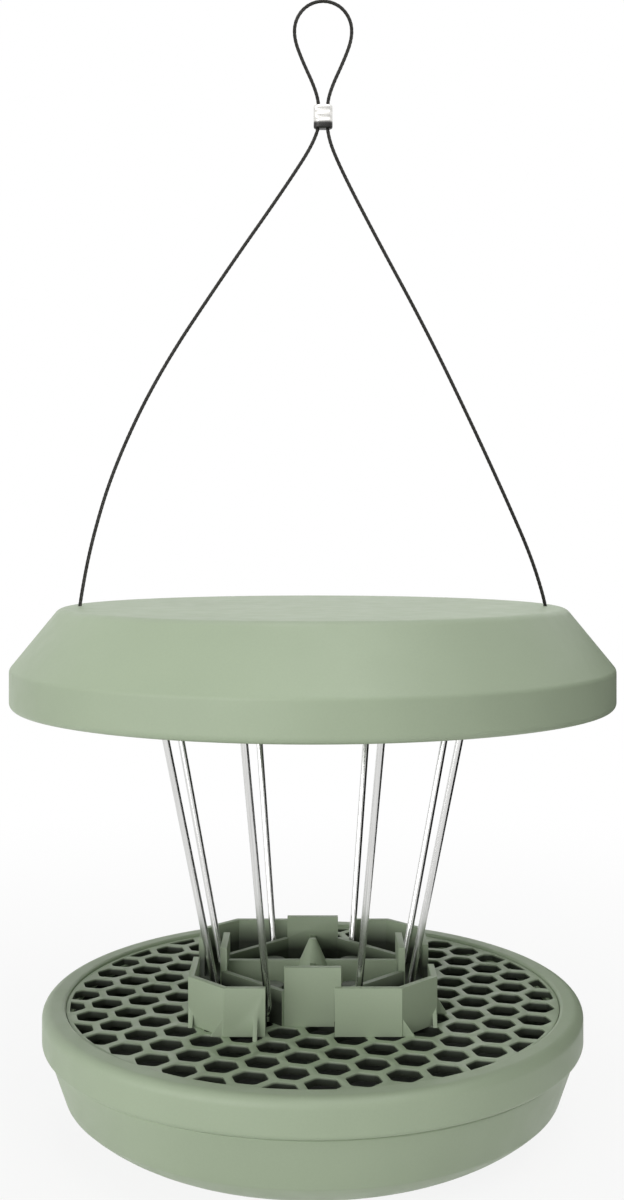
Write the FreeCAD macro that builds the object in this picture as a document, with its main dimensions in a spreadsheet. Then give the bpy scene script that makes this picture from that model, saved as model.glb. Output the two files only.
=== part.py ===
import FreeCAD, Part
import math
import os

import Sketcher

V = FreeCAD.Vector

# Driving dimensions in millimetres and degrees: name, value and what it measures.
SIZES = (
    ("roof_radius", 100.0, "outer radius of the roof's rim band"),
    ("roof_plateau_radius", 84.0, "radius of the roof's flat top"),
    ("roof_height", 32.0, "from the roof's lower edge to its flat top"),
    ("roof_band_height", 12.4, "height of the upright rim band"),
    ("roof_wall", 2.6, "wall of the roof shell"),
    ("roof_shoulder_round", 4.0, "rounding between flat top and slope"),
    ("roof_crease_round", 2.5, "rounding between slope and rim band"),
    ("roof_edge_round", 2.0, "rounding of the roof's lower edge"),
    ("feeding_gap", 98.0, "open height between tray lip and roof edge"),
    ("tray_radius", 89.5, "outer radius of the tray's rim"),
    ("tray_height", 41.0, "height of the tray's lip above its base"),
    ("skirt_depth", 11.8, "height of the rim's skirt"),
    ("skirt_wall", 2.8, "wall of the skirt"),
    ("skirt_round", 1.5, "rounding of the skirt's lower edge"),
    ("lip_width", 7.6, "width of the rounded lip"),
    ("lip_round", 3.2, "rounding of the lip's outer edge"),
    ("lip_inner_round", 1.2, "rounding of the lip's inner edge"),
    ("lip_depth", 2.8, "thickness of the lip over the bowl's edge"),
    ("web_gap", 1.0, "clearance between the grid ledge and the bowl's inner edge"),
    ("ledge_width", 2.6, "width of the ledge that carries the grid"),
    ("ledge_thickness", 2.0, "thickness of that ledge"),
    ("fit_gap", 0.4, "clearance between parts that lift apart"),
    ("seat_gap", 0.2, "clearance round the grid in its rim and under the wires' ends"),
    ("bowl_wall", 2.2, "wall and floor of the crumb bowl"),
    ("bowl_draft", 4.3, "how far the bowl's side leans in down to its curve"),
    ("bead_reach", 1.3, "how far the bowl's side stands out below the skirt"),
    ("bowl_curve_run", 24.0, "width of the bowl's lower curve"),
    ("bowl_shoulder_height", 12.5, "height where the bowl's side meets its curve"),
    ("bowl_curve", 45.0, "radius of the bowl's lower curve"),
    ("drain_radius", 2.0, "radius of a drain hole"),
    ("drain_circle", 34.0, "distance of the drain holes from the axis"),
    ("grid_drop", 1.0, "depth of the grid below the lip"),
    ("grid_thickness", 2.4, "thickness of the honeycomb grid"),
    ("grid_border", 1.2, "width of the grid's plain border"),
    ("cell_pitch", 12.3, "distance between neighbouring cells"),
    ("cell_wall", 2.4, "wall between neighbouring cells"),
    ("cell_round", 1.8, "rounding of a cell's corners"),
    ("cell_turn", 16.0, "angle of the cell rows to the X axis"),
    ("pad_radius", 25.0, "radius of the plain middle of the grid"),
    ("hub_half", 39.5, "half width of the hub over its pocket walls"),
    ("hub_corner", 27.6, "half length of a straight side of the hub"),
    ("hub_wall", 2.0, "thickness of the pocket walls"),
    ("hub_floor", 1.6, "thickness of the hub's floor"),
    ("pocket_height", 15.0, "height of the pocket walls above the grid"),
    ("gate_wide", 14.6, "reach of a gate in the pocket walls on its wide side"),
    ("gate_narrow", 6.8, "reach of a gate on its narrow side"),
    ("gate_inner", 26.0, "distance of a gate's inner edge from the axis"),
    ("panel_reach", 30.5, "distance of a panel's outer face from the axis"),
    ("panel_half", 9.0, "half width of a panel"),
    ("panel_wall", 2.2, "thickness of a panel"),
    ("panel_height", 18.6, "height of a panel above the grid"),
    ("inner_wall_height", 11.0, "height of the pockets' inner walls above the grid"),
    ("clip_half", 4.0, "half length of a clip along its wire"),
    ("clip_wall", 2.0, "thickness of a clip's two cheeks"),
    ("clip_play", 0.9, "clearance between a cheek and its wire"),
    ("clip_height", 6.6, "height of a clip above the grid"),
    ("nose_gap", 0.4, "clearance beside a wire between its clip's noses"),
    ("nose_height", 2.0, "height of a nose"),
    ("rib_height", 12.0, "height of the cross ribs above the grid"),
    ("cone_base_radius", 9.6, "radius of the spike's foot"),
    ("cone_top_radius", 1.2, "radius of the spike's tip"),
    ("cone_height", 19.0, "height of the spike above the grid"),
    ("fin_length", 4.0, "length of a stiffening fin's foot"),
    ("fin_height", 8.0, "height of a stiffening fin"),
    ("fin_wall", 1.4, "thickness of a stiffening fin"),
    ("fin_inset", 2.4, "distance of a fin from the gate beside it"),
    ("wire_diameter", 2.4, "diameter of the cage wires"),
    ("wire_foot_reach", 31.5, "distance of a wire's foot from the axis"),
    ("wire_foot_half", 12.2, "half width of a wire at its foot"),
    ("wire_top_reach", 55.0, "distance of a wire's top from the axis"),
    ("wire_top_half", 21.9, "half width of a wire at its top"),
    ("wire_tab", 8.0, "length of a wire's bent-over end"),
    ("wire_foot_bend", 5.0, "bend radius at a wire's foot"),
    ("wire_top_bend", 2.4, "bend radius at a wire's top"),
    ("wire_gap", 0.3, "clearance under a wire's foot"),
    ("carrier_radius", 66.0, "radius of the plate that carries the wires"),
    ("carrier_thickness", 3.0, "thickness of that plate"),
    ("notch_play", 1.0, "clearance beside a wire in its notch"),
    ("notch_gap", 1.5, "clearance behind a wire in its notch"),
    ("boss_height", 3.8, "height of the screw bosses under the roof"),
    ("boss_wall", 2.57, "wall of a screw boss round its screw"),
    ("roof_screw_circle", 40.0, "distance of the roof screws from the axis"),
    ("hub_screw_circle", 19.0, "distance of the hub screws from the axis"),
    ("hub_boss_height", 8.0, "height of a hub screw boss above the grid"),
    ("screw_radius", 1.4, "radius of a screw's shank"),
    ("screw_grip", 4.6, "length of a screw inside its boss"),
    ("screw_head_radius", 2.8, "radius of a screw's head"),
    ("screw_head_height", 2.0, "height of a screw's head"),
    ("screw_tip_gap", 0.4, "room beyond a screw's tip"),
    ("screw_play", 0.2, "clearance of a screw's shank in a plate"),
    ("screw_fit", 0.03, "clearance of a screw's shank in its boss"),
    ("cable_diameter", 1.2, "diameter of the hanging cable"),
    ("cable_half_span", 78.5, "distance of the cable holes from the axis"),
    ("cable_play", 0.4, "clearance of the cable in the roof's holes"),
    ("cable_pivot", 0.8, "height of the cable's bending point over the roof"),
    ("cable_top", 203.3, "height of the cable's loop over its bending point"),
    ("stop_wall", 1.58, "wall of a crimped end stop"),
    ("stop_length", 6.0, "length of a crimped end stop"),
    ("tail_length", 2.0, "cable left below an end stop"),
    ("crimp_fit", 0.02, "clearance of the cable in an end stop"),
    ("ferrule_middle", 3.5, "place of the ferrule along X"),
    ("ferrule_pitch", 2.6, "distance between the two strands in the ferrule"),
    ("ferrule_wall", 1.28, "wall of the ferrule round its strands"),
    ("ferrule_length", 8.0, "length of the ferrule"),
    ("ferrule_below", 43.5, "depth of the ferrule's lower end below the loop's top"),
    ("ferrule_round", 0.7, "rounding of the ferrule's ends"),
)

# The cable's route from the left hole through the ferrule, round the loop and down to the right hole:
# X, and height above the bending points at the roof.
CABLE_ROUTE = (
    (-78.5, 0.0),
    (-74.6, 20.7),
    (-66.9, 46.2),
    (-52.2, 77.2),
    (-29.2, 111.8),
    (-9.2, 140.2),
    (2.2, 158.0),
    (2.2, 168.0),
    (0.6, 174.0),
    (-3.6, 183.0),
    (-6.3, 190.4),
    (-5.9, 196.5),
    (-2.3, 201.4),
    (3.5, 203.3),
    (9.3, 201.4),
    (12.9, 196.5),
    (13.3, 190.4),
    (10.6, 183.0),
    (6.4, 174.0),
    (4.8, 168.0),
    (4.8, 158.0),
    (9.1, 147.0),
    (20.7, 124.5),
    (38.3, 92.0),
    (53.7, 60.2),
    (65.7, 34.0),
    (73.7, 15.5),
    (78.5, 0.0),
)
ARC_SHARE = 0.45
PAST = 1.0
SIDES = 4
QUARTER = 90.0

doc = FreeCAD.newDocument("fat_ball_feeder")
sheet = doc.addObject("Spreadsheet::Sheet", "sizes")
for row, (alias, number, meaning) in enumerate(SIZES, start=1):
    sheet.set(f"A{row}", alias)
    sheet.set(f"B{row}", str(number))
    sheet.set(f"C{row}", meaning)
    sheet.setAlias(f"B{row}", alias)
doc.recompute()


class Size:
    """A number together with the sheet expression that gives it."""

    def __init__(self, value, text):
        self.value = value
        self.text = text

    def with_other(self, other, sign, value):
        return Size(value, f"({self.text} {sign} {other.text})")

    def __add__(self, other):
        other = as_size(other)
        return self.with_other(other, "+", self.value + other.value)

    def __sub__(self, other):
        other = as_size(other)
        return self.with_other(other, "-", self.value - other.value)

    def __mul__(self, other):
        other = as_size(other)
        return self.with_other(other, "*", self.value * other.value)

    def __truediv__(self, other):
        other = as_size(other)
        return self.with_other(other, "/", self.value / other.value)

    def __neg__(self):
        return Size(-self.value, f"(-1 * {self.text})")


def as_size(number):
    """A plain number as a Size."""
    return number if isinstance(number, Size) else Size(float(number), repr(float(number)))


class Named:
    """The sheet's cells as attributes."""


s = Named()
for alias, number, meaning in SIZES:
    setattr(s, alias, Size(sheet.get(alias), f"sizes.{alias}"))
ZERO = as_size(0)

# Heights and radii that several pieces share.
wire_radius = s.wire_diameter / 2
cable_radius = s.cable_diameter / 2
grid_top = s.tray_height - s.grid_drop
rim_inner = s.tray_radius - s.lip_width
grid_radius = rim_inner - s.seat_gap
bowl_top = s.tray_height - s.lip_depth
bowl_radius = s.tray_radius - s.skirt_wall - s.fit_gap
skirt_bottom = s.tray_height - s.skirt_depth
shoulder_radius = bowl_radius - s.bowl_draft
base_radius = shoulder_radius - s.bowl_curve_run
roof_bottom = s.tray_height + s.feeding_gap
roof_top = roof_bottom + s.roof_height
roof_under = roof_top - s.roof_wall
carrier_top = roof_under - s.boss_height
carrier_bottom = carrier_top - s.carrier_thickness
wire_foot = grid_top + s.hub_floor + s.wire_gap + wire_radius
wire_top = carrier_top + s.seat_gap + wire_radius
cable_height = roof_top + s.cable_pivot
boss_radius = s.screw_radius + s.screw_fit + s.boss_wall


def origin_feature(body, role):
    """One of a body's own origin planes or axes."""
    return next(item for item in body.Origin.OriginFeatures if item.Role == role)


def new_body(label, height=ZERO):
    """An empty body whose own origin lies at a height on the part's axis."""
    body = doc.addObject("PartDesign::Body", label)
    body.AllowCompound = True
    body.setExpression("Placement.Base.z", height.text)
    return body


def new_sketch(body, name, plane="XY_Plane", height=ZERO):
    """A sketch on one of a body's origin planes, lifted along that plane's normal."""
    sketch = body.newObject("Sketcher::SketchObject", name)
    sketch.AttachmentSupport = [(origin_feature(body, plane), "")]
    sketch.MapMode = "FlatFace"
    sketch.setExpression("AttachmentOffset.Base.z", height.text)
    return sketch


def bind(sketch, constraint, size):
    """Adds a constraint whose value follows the sheet."""
    index = sketch.addConstraint(constraint)
    sketch.setExpression(f"Constraints[{index}]", size.text)


def pin(sketch, edge, vertex, point):
    """Ties a vertex to its two coordinates; a zero one lies on the sketch's own axis."""
    for kind, axis, size in (("DistanceX", -2, point[0]), ("DistanceY", -1, point[1])):
        if size is ZERO:
            sketch.addConstraint(Sketcher.Constraint("PointOnObject", edge, vertex, axis))
        else:
            bind(sketch, Sketcher.Constraint(kind, -1, 1, edge, vertex, size.value), size)


def arc_points(start, end, radius, side):
    """The middle and the centre of an arc that bulges to the right of its way, or with side -1 to the left."""
    chord = end - start
    half = chord.Length / 2
    depth = math.sqrt(radius * radius - half * half)
    outward = V(chord.y, -chord.x, 0).normalize() * side
    centre = (start + end) / 2 - outward * depth
    return centre + outward * radius, centre


def outline(sketch, points, arcs=None):
    """A closed outline through points; arcs gives the radius and the side of the edges that are round."""
    arcs = arcs or {}
    points = [(as_size(x) if x else ZERO, as_size(y) if y else ZERO) for x, y in points]
    corners = [V(x.value, y.value, 0) for x, y in points]
    ends = []
    for number, start in enumerate(corners):
        end = corners[(number + 1) % len(corners)]
        if number not in arcs:
            ends.append((sketch.addGeometry(Part.LineSegment(start, end)), 1, 2))
            continue
        radius, side = arcs[number]
        middle = arc_points(start, end, radius.value, side)[0]
        if side > 0:
            edge = sketch.addGeometry(Part.Arc(start, middle, end))
            ends.append((edge, 1, 2))
        else:
            edge = sketch.addGeometry(Part.Arc(end, middle, start))
            ends.append((edge, 2, 1))
        bind(sketch, Sketcher.Constraint("Radius", edge, radius.value), radius)
    for number, (edge, first, last) in enumerate(ends):
        after = ends[(number + 1) % len(ends)]
        sketch.addConstraint(Sketcher.Constraint("Coincident", edge, last, after[0], after[1]))
        pin(sketch, edge, first, points[number])


def circle(sketch, x, y, radius):
    """A circle with its centre and radius tied to the sheet."""
    edge = sketch.addGeometry(Part.Circle(V(as_size(x).value, as_size(y).value, 0), V(0, 0, 1), radius.value))
    pin(sketch, edge, 3, (as_size(x) if x else ZERO, as_size(y) if y else ZERO))
    bind(sketch, Sketcher.Constraint("Radius", edge, radius.value), radius)


def rectangle(sketch, left, right, low, high):
    """A rectangle between two X and two Y values."""
    outline(sketch, ((left, low), (right, low), (right, high), (left, high)))


def feature(body, kind, name, profile):
    """A PartDesign feature on a profile, as the body's new tip."""
    item = body.newObject(f"PartDesign::{kind}", name)
    item.Profile = profile
    body.Tip = item
    return item


def pad(body, name, profile, length, both_ways=False):
    """Raises a profile by a length, or by half of it each way."""
    item = feature(body, "Pad", name, profile)
    item.setExpression("Length", length.text)
    item.SideType = "Symmetric" if both_ways else "One side"
    return item


def cut_up(body, name, profile, depth):
    """Cuts a profile upwards from its sketch."""
    item = feature(body, "Pocket", name, profile)
    item.Reversed = True
    item.setExpression("Length", depth.text)
    return item


def turn(body, name, profile):
    """Turns a profile once round the body's Z axis."""
    item = feature(body, "Revolution", name, profile)
    item.ReferenceAxis = (profile, ["V_Axis"])
    item.Angle = 360.0
    return item


def repeat(body, name, originals, count):
    """Repeats features evenly round the body's Z axis."""
    item = body.newObject("PartDesign::PolarPattern", name)
    item.Originals = originals
    item.Axis = (origin_feature(body, "Z_Axis"), [""])
    item.Angle = 360.0
    item.Occurrences = count
    body.Tip = item
    return item


def ring_edges(base, rings):
    """Names of the full circles of a solid that have one of the given radii and heights."""
    doc.recompute()
    found = []
    for number, edge in enumerate(base.Shape.Edges, start=1):
        if not isinstance(edge.Curve, Part.Circle):
            continue
        centre = edge.Curve.Center
        for radius, height in rings:
            near = abs(edge.Curve.Radius - radius.value) < 0.01 and abs(centre.z - height.value) < 0.01
            if near and math.hypot(centre.x, centre.y) < 0.01:
                found.append(f"Edge{number}")
    return found


def round_off(body, name, base, edges, radius):
    """Rounds edges of a base feature."""
    item = body.newObject("PartDesign::Fillet", name)
    item.Base = (base, edges)
    item.setExpression("Radius", radius.text)
    body.Tip = item
    return item


def diagonal(distance):
    """Both coordinates of a point at a distance from the axis, half way between X and Y."""
    return distance * math.sqrt(0.5)


def rounded_path(points, radii):
    """Straight runs through points, joined by tangent arcs."""
    edges = []
    start = points[0]
    for before, corner, after, radius in zip(points, points[1:], points[2:], radii):
        arriving = (corner - before).normalize()
        leaving = (after - corner).normalize()
        half = arriving.getAngle(leaving) / 2
        first = corner - arriving * (radius * math.tan(half))
        last = corner + leaving * (radius * math.tan(half))
        inward = (leaving - arriving).normalize()
        middle = corner + inward * (radius / math.cos(half) - radius)
        edges.append(Part.LineSegment(start, first).toShape())
        edges.append(Part.Arc(first, middle, last).toShape())
        start = last
    edges.append(Part.LineSegment(start, points[-1]).toShape())
    return Part.Wire(edges)


def tube(path, start, toward, radius):
    """A round bar along a path, with its volume compared with section times length."""
    section = Part.Wire([Part.makeCircle(radius, start, toward - start)])
    solid = path.makePipeShell([section], True, True)
    expected = math.pi * radius * radius * path.Length
    if abs(solid.Volume / expected - 1) > 0.01:
        raise RuntimeError("a tube's volume differs from its section times its length")
    return solid


def add_shape(label, shape, placement=None):
    """A sub-part whose shape is worked out from the sheet's values."""
    item = doc.addObject("Part::Feature", label)
    item.Shape = shape
    if placement is not None:
        item.Placement = placement
    return item


def make_crumb_bowl():
    """A turned bowl with a flat base, a curved lower side, a bead below the skirt and drain holes."""
    body = new_body("crumb_bowl")
    profile = new_sketch(body, "bowl_profile", "XZ_Plane")
    foot = V(base_radius.value, 0, 0)
    shoulder = V(shoulder_radius.value, s.bowl_shoulder_height.value, 0)
    centre = arc_points(foot, shoulder, s.bowl_curve.value, 1)[1]
    foot_way = (foot - centre).normalize()
    shoulder_way = (shoulder - centre).normalize()
    inner_shoulder = (
        shoulder_radius - s.bowl_wall * shoulder_way.x,
        s.bowl_shoulder_height - s.bowl_wall * shoulder_way.y,
    )
    bead_height = skirt_bottom - s.fit_gap
    side_height = bead_height - s.bowl_shoulder_height
    upright_share = s.bowl_draft / (s.bowl_draft + s.bead_reach)
    points = (
        (ZERO, ZERO),
        (base_radius, ZERO),
        (shoulder_radius, s.bowl_shoulder_height),
        (bowl_radius + s.bead_reach, bead_height),
        (bowl_radius, bead_height),
        (bowl_radius, bowl_top),
        (bowl_radius - s.bowl_wall, bowl_top),
        (bowl_radius - s.bowl_wall, s.bowl_shoulder_height + side_height * upright_share),
        inner_shoulder,
        (base_radius - s.bowl_wall * foot_way.x, s.bowl_wall),
        (ZERO, s.bowl_wall),
    )
    outline(profile, points, {1: (s.bowl_curve, 1), 8: (s.bowl_curve - s.bowl_wall, -1)})
    turn(body, "bowl_turn", profile)
    hole = new_sketch(body, "drain_hole")
    circle(hole, s.drain_circle, 0, s.drain_radius)
    drain = cut_up(body, "drain", hole, s.bowl_wall * 2)
    repeat(body, "drains", [drain], SIDES)
    return body


def make_tray_rim():
    """The rim: skirt outside the bowl, rounded lip over its edge and a ledge for the grid."""
    body = new_body("tray_rim")
    profile = new_sketch(body, "rim_profile", "XZ_Plane")
    ledge_top = grid_top - s.grid_thickness
    ledge_bottom = ledge_top - s.ledge_thickness
    web_radius = bowl_radius - s.bowl_wall - s.web_gap
    skirt_inner = s.tray_radius - s.skirt_wall
    points = (
        (s.tray_radius, skirt_bottom),
        (s.tray_radius, s.tray_height),
        (rim_inner, s.tray_height),
        (rim_inner, ledge_top),
        (rim_inner - s.ledge_width, ledge_top),
        (rim_inner - s.ledge_width, ledge_bottom),
        (web_radius, ledge_bottom),
        (web_radius, bowl_top),
        (skirt_inner, bowl_top),
        (skirt_inner, skirt_bottom),
    )
    outline(profile, points)
    base = turn(body, "rim_turn", profile)
    roundings = (
        ("lip_outer", (s.tray_radius, s.tray_height), s.lip_round),
        ("lip_inner", (rim_inner, s.tray_height), s.lip_inner_round),
        ("skirt_edge", (s.tray_radius, skirt_bottom), s.skirt_round),
    )
    for name, ring, radius in roundings:
        base = round_off(body, name, base, ring_edges(base, [ring]), radius)
    return body


def disc_face(radius, x=0.0, y=0.0):
    """A flat round face."""
    return Part.Face(Part.Wire([Part.makeCircle(radius, V(x, y, 0))]))


def hexagon(x, y, across, turned, rounding):
    """A six-sided face with rounded corners and a width across its flats, turned about its centre."""
    reach = (across - 2 * rounding) / math.sqrt(3)
    angles = [math.radians(turned + 30 + 60 * side) for side in range(7)]
    corners = [V(x + reach * math.cos(angle), y + reach * math.sin(angle), 0) for angle in angles]
    return Part.Face(Part.makePolygon(corners).makeOffset2D(rounding))


def cell_openings():
    """The honeycomb's cells as faces, cut off at the plain border and the plain middle."""
    smallest_cell = 5.0
    open_radius = (grid_radius - s.grid_border).value
    field = disc_face(open_radius).cut(disc_face(s.pad_radius.value))
    pitch = s.cell_pitch.value
    turned = s.cell_turn.value
    row = V(pitch, 0, 0)
    slant = V(pitch / 2, pitch * math.sqrt(3) / 2, 0)
    lattice = FreeCAD.Rotation(V(0, 0, 1), turned)
    reach = math.ceil(open_radius / pitch) * 2
    openings = []
    for column in range(-reach, reach + 1):
        for line in range(-reach, reach + 1):
            centre = lattice.multVec(row * column + slant * line)
            if centre.Length > open_radius + pitch or centre.Length < s.pad_radius.value - pitch:
                continue
            cell = hexagon(centre.x, centre.y, pitch - s.cell_wall.value, turned, s.cell_round.value)
            openings += [face for face in cell.common(field).Faces if face.Area > smallest_cell]
    return openings


def make_honeycomb_grid():
    """A flat honeycomb disc with a plain middle for the hub's screws."""
    screw_hole = (s.screw_radius + s.screw_play).value
    place = diagonal(s.hub_screw_circle).value
    holes = cell_openings()
    for x in (-place, place):
        for y in (-place, place):
            holes.append(disc_face(screw_hole, x, y))
    plate = disc_face(grid_radius.value).cut(Part.makeCompound(holes)).Faces[0]
    height = (grid_top - s.grid_thickness).value
    return add_shape(
        "honeycomb_grid",
        plate.extrude(V(0, 0, s.grid_thickness.value)),
        FreeCAD.Placement(V(0, 0, height), FreeCAD.Rotation()),
    )


def octagon(sketch, half, corner):
    """A square outline with cut-off corners."""
    outline(
        sketch,
        (
            (-corner, -half),
            (corner, -half),
            (half, -corner),
            (half, corner),
            (corner, half),
            (-corner, half),
            (-half, corner),
            (-half, -corner),
        ),
    )


def across_corner(sketch, near, far, half):
    """A rectangle across the front left diagonal, between two distances from the axis."""
    places = ((near, -half), (near, half), (far, half), (far, -half))
    outline(sketch, [(-diagonal(distance + shift), -diagonal(distance - shift)) for distance, shift in places])


def make_wire_hub():
    """The hub that takes the wires' feet: corner pockets with gates between them, panels, ribs and a spike."""
    body = new_body("wire_hub", grid_top)
    plan = new_sketch(body, "hub_floor_plan")
    octagon(plan, s.hub_half, s.hub_corner)
    pad(body, "hub_floor", plan, s.hub_floor)
    plan = new_sketch(body, "pocket_wall_plan")
    octagon(plan, s.hub_half, s.hub_corner)
    inset_corner = s.hub_corner - s.hub_wall * math.tan(math.radians(22.5))
    octagon(plan, s.hub_half - s.hub_wall, inset_corner)
    pad(body, "pocket_wall", plan, s.pocket_height)
    plan = new_sketch(body, "gate_plan")
    rectangle(plan, -s.gate_wide, s.gate_narrow, -(s.hub_half + PAST), -s.gate_inner)
    gate = cut_up(body, "gate", plan, s.pocket_height * 2)
    repeat(body, "gates", [gate], SIDES)
    panel_inner = s.panel_reach - s.panel_wall
    plan = new_sketch(body, "panel_plan")
    rectangle(plan, -s.panel_half, s.panel_half, -s.panel_reach, -panel_inner)
    panel = pad(body, "panel", plan, s.panel_height)
    repeat(body, "panels", [panel], SIDES)
    half_wall = s.hub_wall / 2
    plan = new_sketch(body, "rib_plan")
    rectangle(plan, -panel_inner, panel_inner, -half_wall, half_wall)
    rib = pad(body, "rib", plan, s.rib_height)
    repeat(body, "ribs", [rib], SIDES)
    panel_middle = s.panel_reach - s.panel_wall / 2
    wall_distance = diagonal(s.panel_half + panel_middle)
    wall_half = diagonal(panel_middle - s.panel_half)
    plan = new_sketch(body, "inner_wall_plan")
    across_corner(plan, wall_distance - half_wall, wall_distance + half_wall, wall_half)
    inner_wall = pad(body, "inner_wall", plan, s.inner_wall_height)
    repeat(body, "inner_walls", [inner_wall], SIDES)
    add_clips(body, wall_distance)
    profile = new_sketch(body, "spike_profile", "XZ_Plane")
    outline(
        profile,
        ((ZERO, ZERO), (s.cone_base_radius, ZERO), (s.cone_top_radius, s.cone_height), (ZERO, s.cone_height)),
    )
    turn(body, "spike", profile)
    place = diagonal(s.hub_screw_circle)
    plan = new_sketch(body, "screw_boss_plan")
    circle(plan, place, place, boss_radius)
    boss = pad(body, "screw_boss", plan, s.hub_boss_height)
    repeat(body, "screw_bosses", [boss], SIDES)
    plan = new_sketch(body, "screw_hole_plan")
    circle(plan, place, place, s.screw_radius + s.screw_fit)
    hole = cut_up(body, "screw_hole", plan, s.screw_grip + s.screw_tip_gap)
    repeat(body, "screw_holes", [hole], SIDES)
    add_fins(body)
    return body


def add_clips(body, wall_distance):
    """Two cheeks with noses beside each wire's foot; the inner cheek stands against the pocket's inner wall."""
    wire_inner = s.wire_foot_reach - wire_radius
    wire_outer = s.wire_foot_reach + wire_radius
    cheek_outer = wire_outer + s.clip_play + s.clip_wall
    nose_bottom = s.clip_height - s.nose_height
    parts = []
    for name, height, near, far, low in (
        ("inner_cheek", s.clip_height, wall_distance, wire_inner - s.clip_play, ZERO),
        ("outer_cheek", s.clip_height, wire_outer + s.clip_play, cheek_outer, ZERO),
        ("inner_nose", s.nose_height, wall_distance, wire_inner - s.nose_gap, nose_bottom),
        ("outer_nose", s.nose_height, wire_outer + s.nose_gap, cheek_outer, nose_bottom),
    ):
        plan = new_sketch(body, f"{name}_plan", "XY_Plane", low)
        across_corner(plan, near, far, s.clip_half)
        parts.append(pad(body, name, plan, height))
    repeat(body, "clips", parts, SIDES)


def add_fins(body):
    """Triangular fins at each end of the pocket walls and beside the gates."""
    half_fin = s.fin_wall / 2
    wall_middle = s.hub_half - s.hub_wall / 2
    plan = new_sketch(body, "front_fin_profile", "XZ_Plane", wall_middle - half_fin)
    foot = s.hub_corner - s.fin_wall
    outline(plan, ((foot, ZERO), (s.hub_corner + s.fin_length, ZERO), (foot, s.fin_height)))
    front = pad(body, "front_fin", plan, s.fin_wall)
    plan = new_sketch(body, "side_fin_profile", "YZ_Plane", wall_middle - half_fin)
    outline(plan, ((-foot, ZERO), (-s.hub_corner - s.fin_length, ZERO), (-foot, s.fin_height)))
    side = pad(body, "side_fin", plan, s.fin_wall)
    plan = new_sketch(body, "gate_fin_profile", "YZ_Plane", -s.gate_wide - s.fin_inset - s.fin_wall)
    inside = -wall_middle
    outline(plan, ((inside, ZERO), (-s.hub_half - s.fin_length, ZERO), (inside, s.fin_height)))
    gate = pad(body, "gate_fin", plan, s.fin_wall)
    repeat(body, "fins", [front, side, gate], SIDES)


def make_screws(label, circle_radius, head_bottom, plate):
    """Four screws with their heads below a plate and their shanks in the bosses above it."""
    body = new_body(label, head_bottom)
    place = diagonal(circle_radius)
    plan = new_sketch(body, f"{label}_head_plan")
    circle(plan, place, place, s.screw_head_radius)
    head = pad(body, f"{label}_head", plan, s.screw_head_height)
    plan = new_sketch(body, f"{label}_shank_plan")
    circle(plan, place, place, s.screw_radius)
    shank = pad(body, f"{label}_shank", plan, s.screw_head_height + plate + s.screw_grip)
    repeat(body, f"{label}_four", [head, shank], SIDES)
    return body


def make_wires():
    """Four bent wires, one at each corner: a foot, two legs that lean outwards and two bent-over ends."""
    rise = (wire_top - wire_foot).value
    spread = (s.wire_top_reach - s.wire_foot_reach).value
    slant = math.hypot(rise, spread)
    lean = math.degrees(math.atan2(spread, rise))
    foot = s.wire_foot_half.value
    top = s.wire_top_half.value
    tab = s.wire_tab.value
    points = [
        V(-top + tab, 0, slant),
        V(-top, 0, slant),
        V(-foot, 0, 0),
        V(foot, 0, 0),
        V(top, 0, slant),
        V(top - tab, 0, slant),
    ]
    top_bend = s.wire_top_bend.value
    foot_bend = s.wire_foot_bend.value
    path = rounded_path(points, [top_bend, foot_bend, foot_bend, top_bend])
    bar = tube(path, points[0], points[1], wire_radius.value)
    start = V(0, -s.wire_foot_reach.value, wire_foot.value)
    leaning = FreeCAD.Rotation(V(1, 0, 0), lean)
    labels = ("front_right_wire", "rear_right_wire", "rear_left_wire", "front_left_wire")
    for number, label in enumerate(labels):
        around = FreeCAD.Rotation(V(0, 0, 1), QUARTER * (number + 0.5))
        placement = FreeCAD.Placement(around.multVec(start), around.multiply(leaning))
        add_shape(label, bar, placement)


def make_wire_carrier():
    """The plate under the roof whose notches hold the wires by their bent-over ends."""
    body = new_body("wire_carrier", carrier_bottom)
    plan = new_sketch(body, "carrier_plan")
    circle(plan, 0, 0, s.carrier_radius)
    pad(body, "carrier_plate", plan, s.carrier_thickness)
    half = wire_radius + s.notch_play
    near = diagonal(s.wire_top_reach - s.wire_top_half)
    inner = wire_radius + s.notch_gap - diagonal(s.wire_top_reach + s.wire_top_half)
    outer = -(s.carrier_radius + PAST)
    plan = new_sketch(body, "notch_plan")
    rectangle(plan, near - half, near + half, outer, inner)
    rectangle(plan, -near - half, -near + half, outer, inner)
    notch = cut_up(body, "notch_pair", plan, s.carrier_thickness * 2)
    repeat(body, "notches", [notch], SIDES)
    place = diagonal(s.roof_screw_circle)
    plan = new_sketch(body, "carrier_hole_plan")
    circle(plan, place, place, s.screw_radius + s.screw_play)
    hole = cut_up(body, "carrier_hole", plan, s.carrier_thickness * 2)
    repeat(body, "carrier_holes", [hole], SIDES)
    return body


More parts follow.
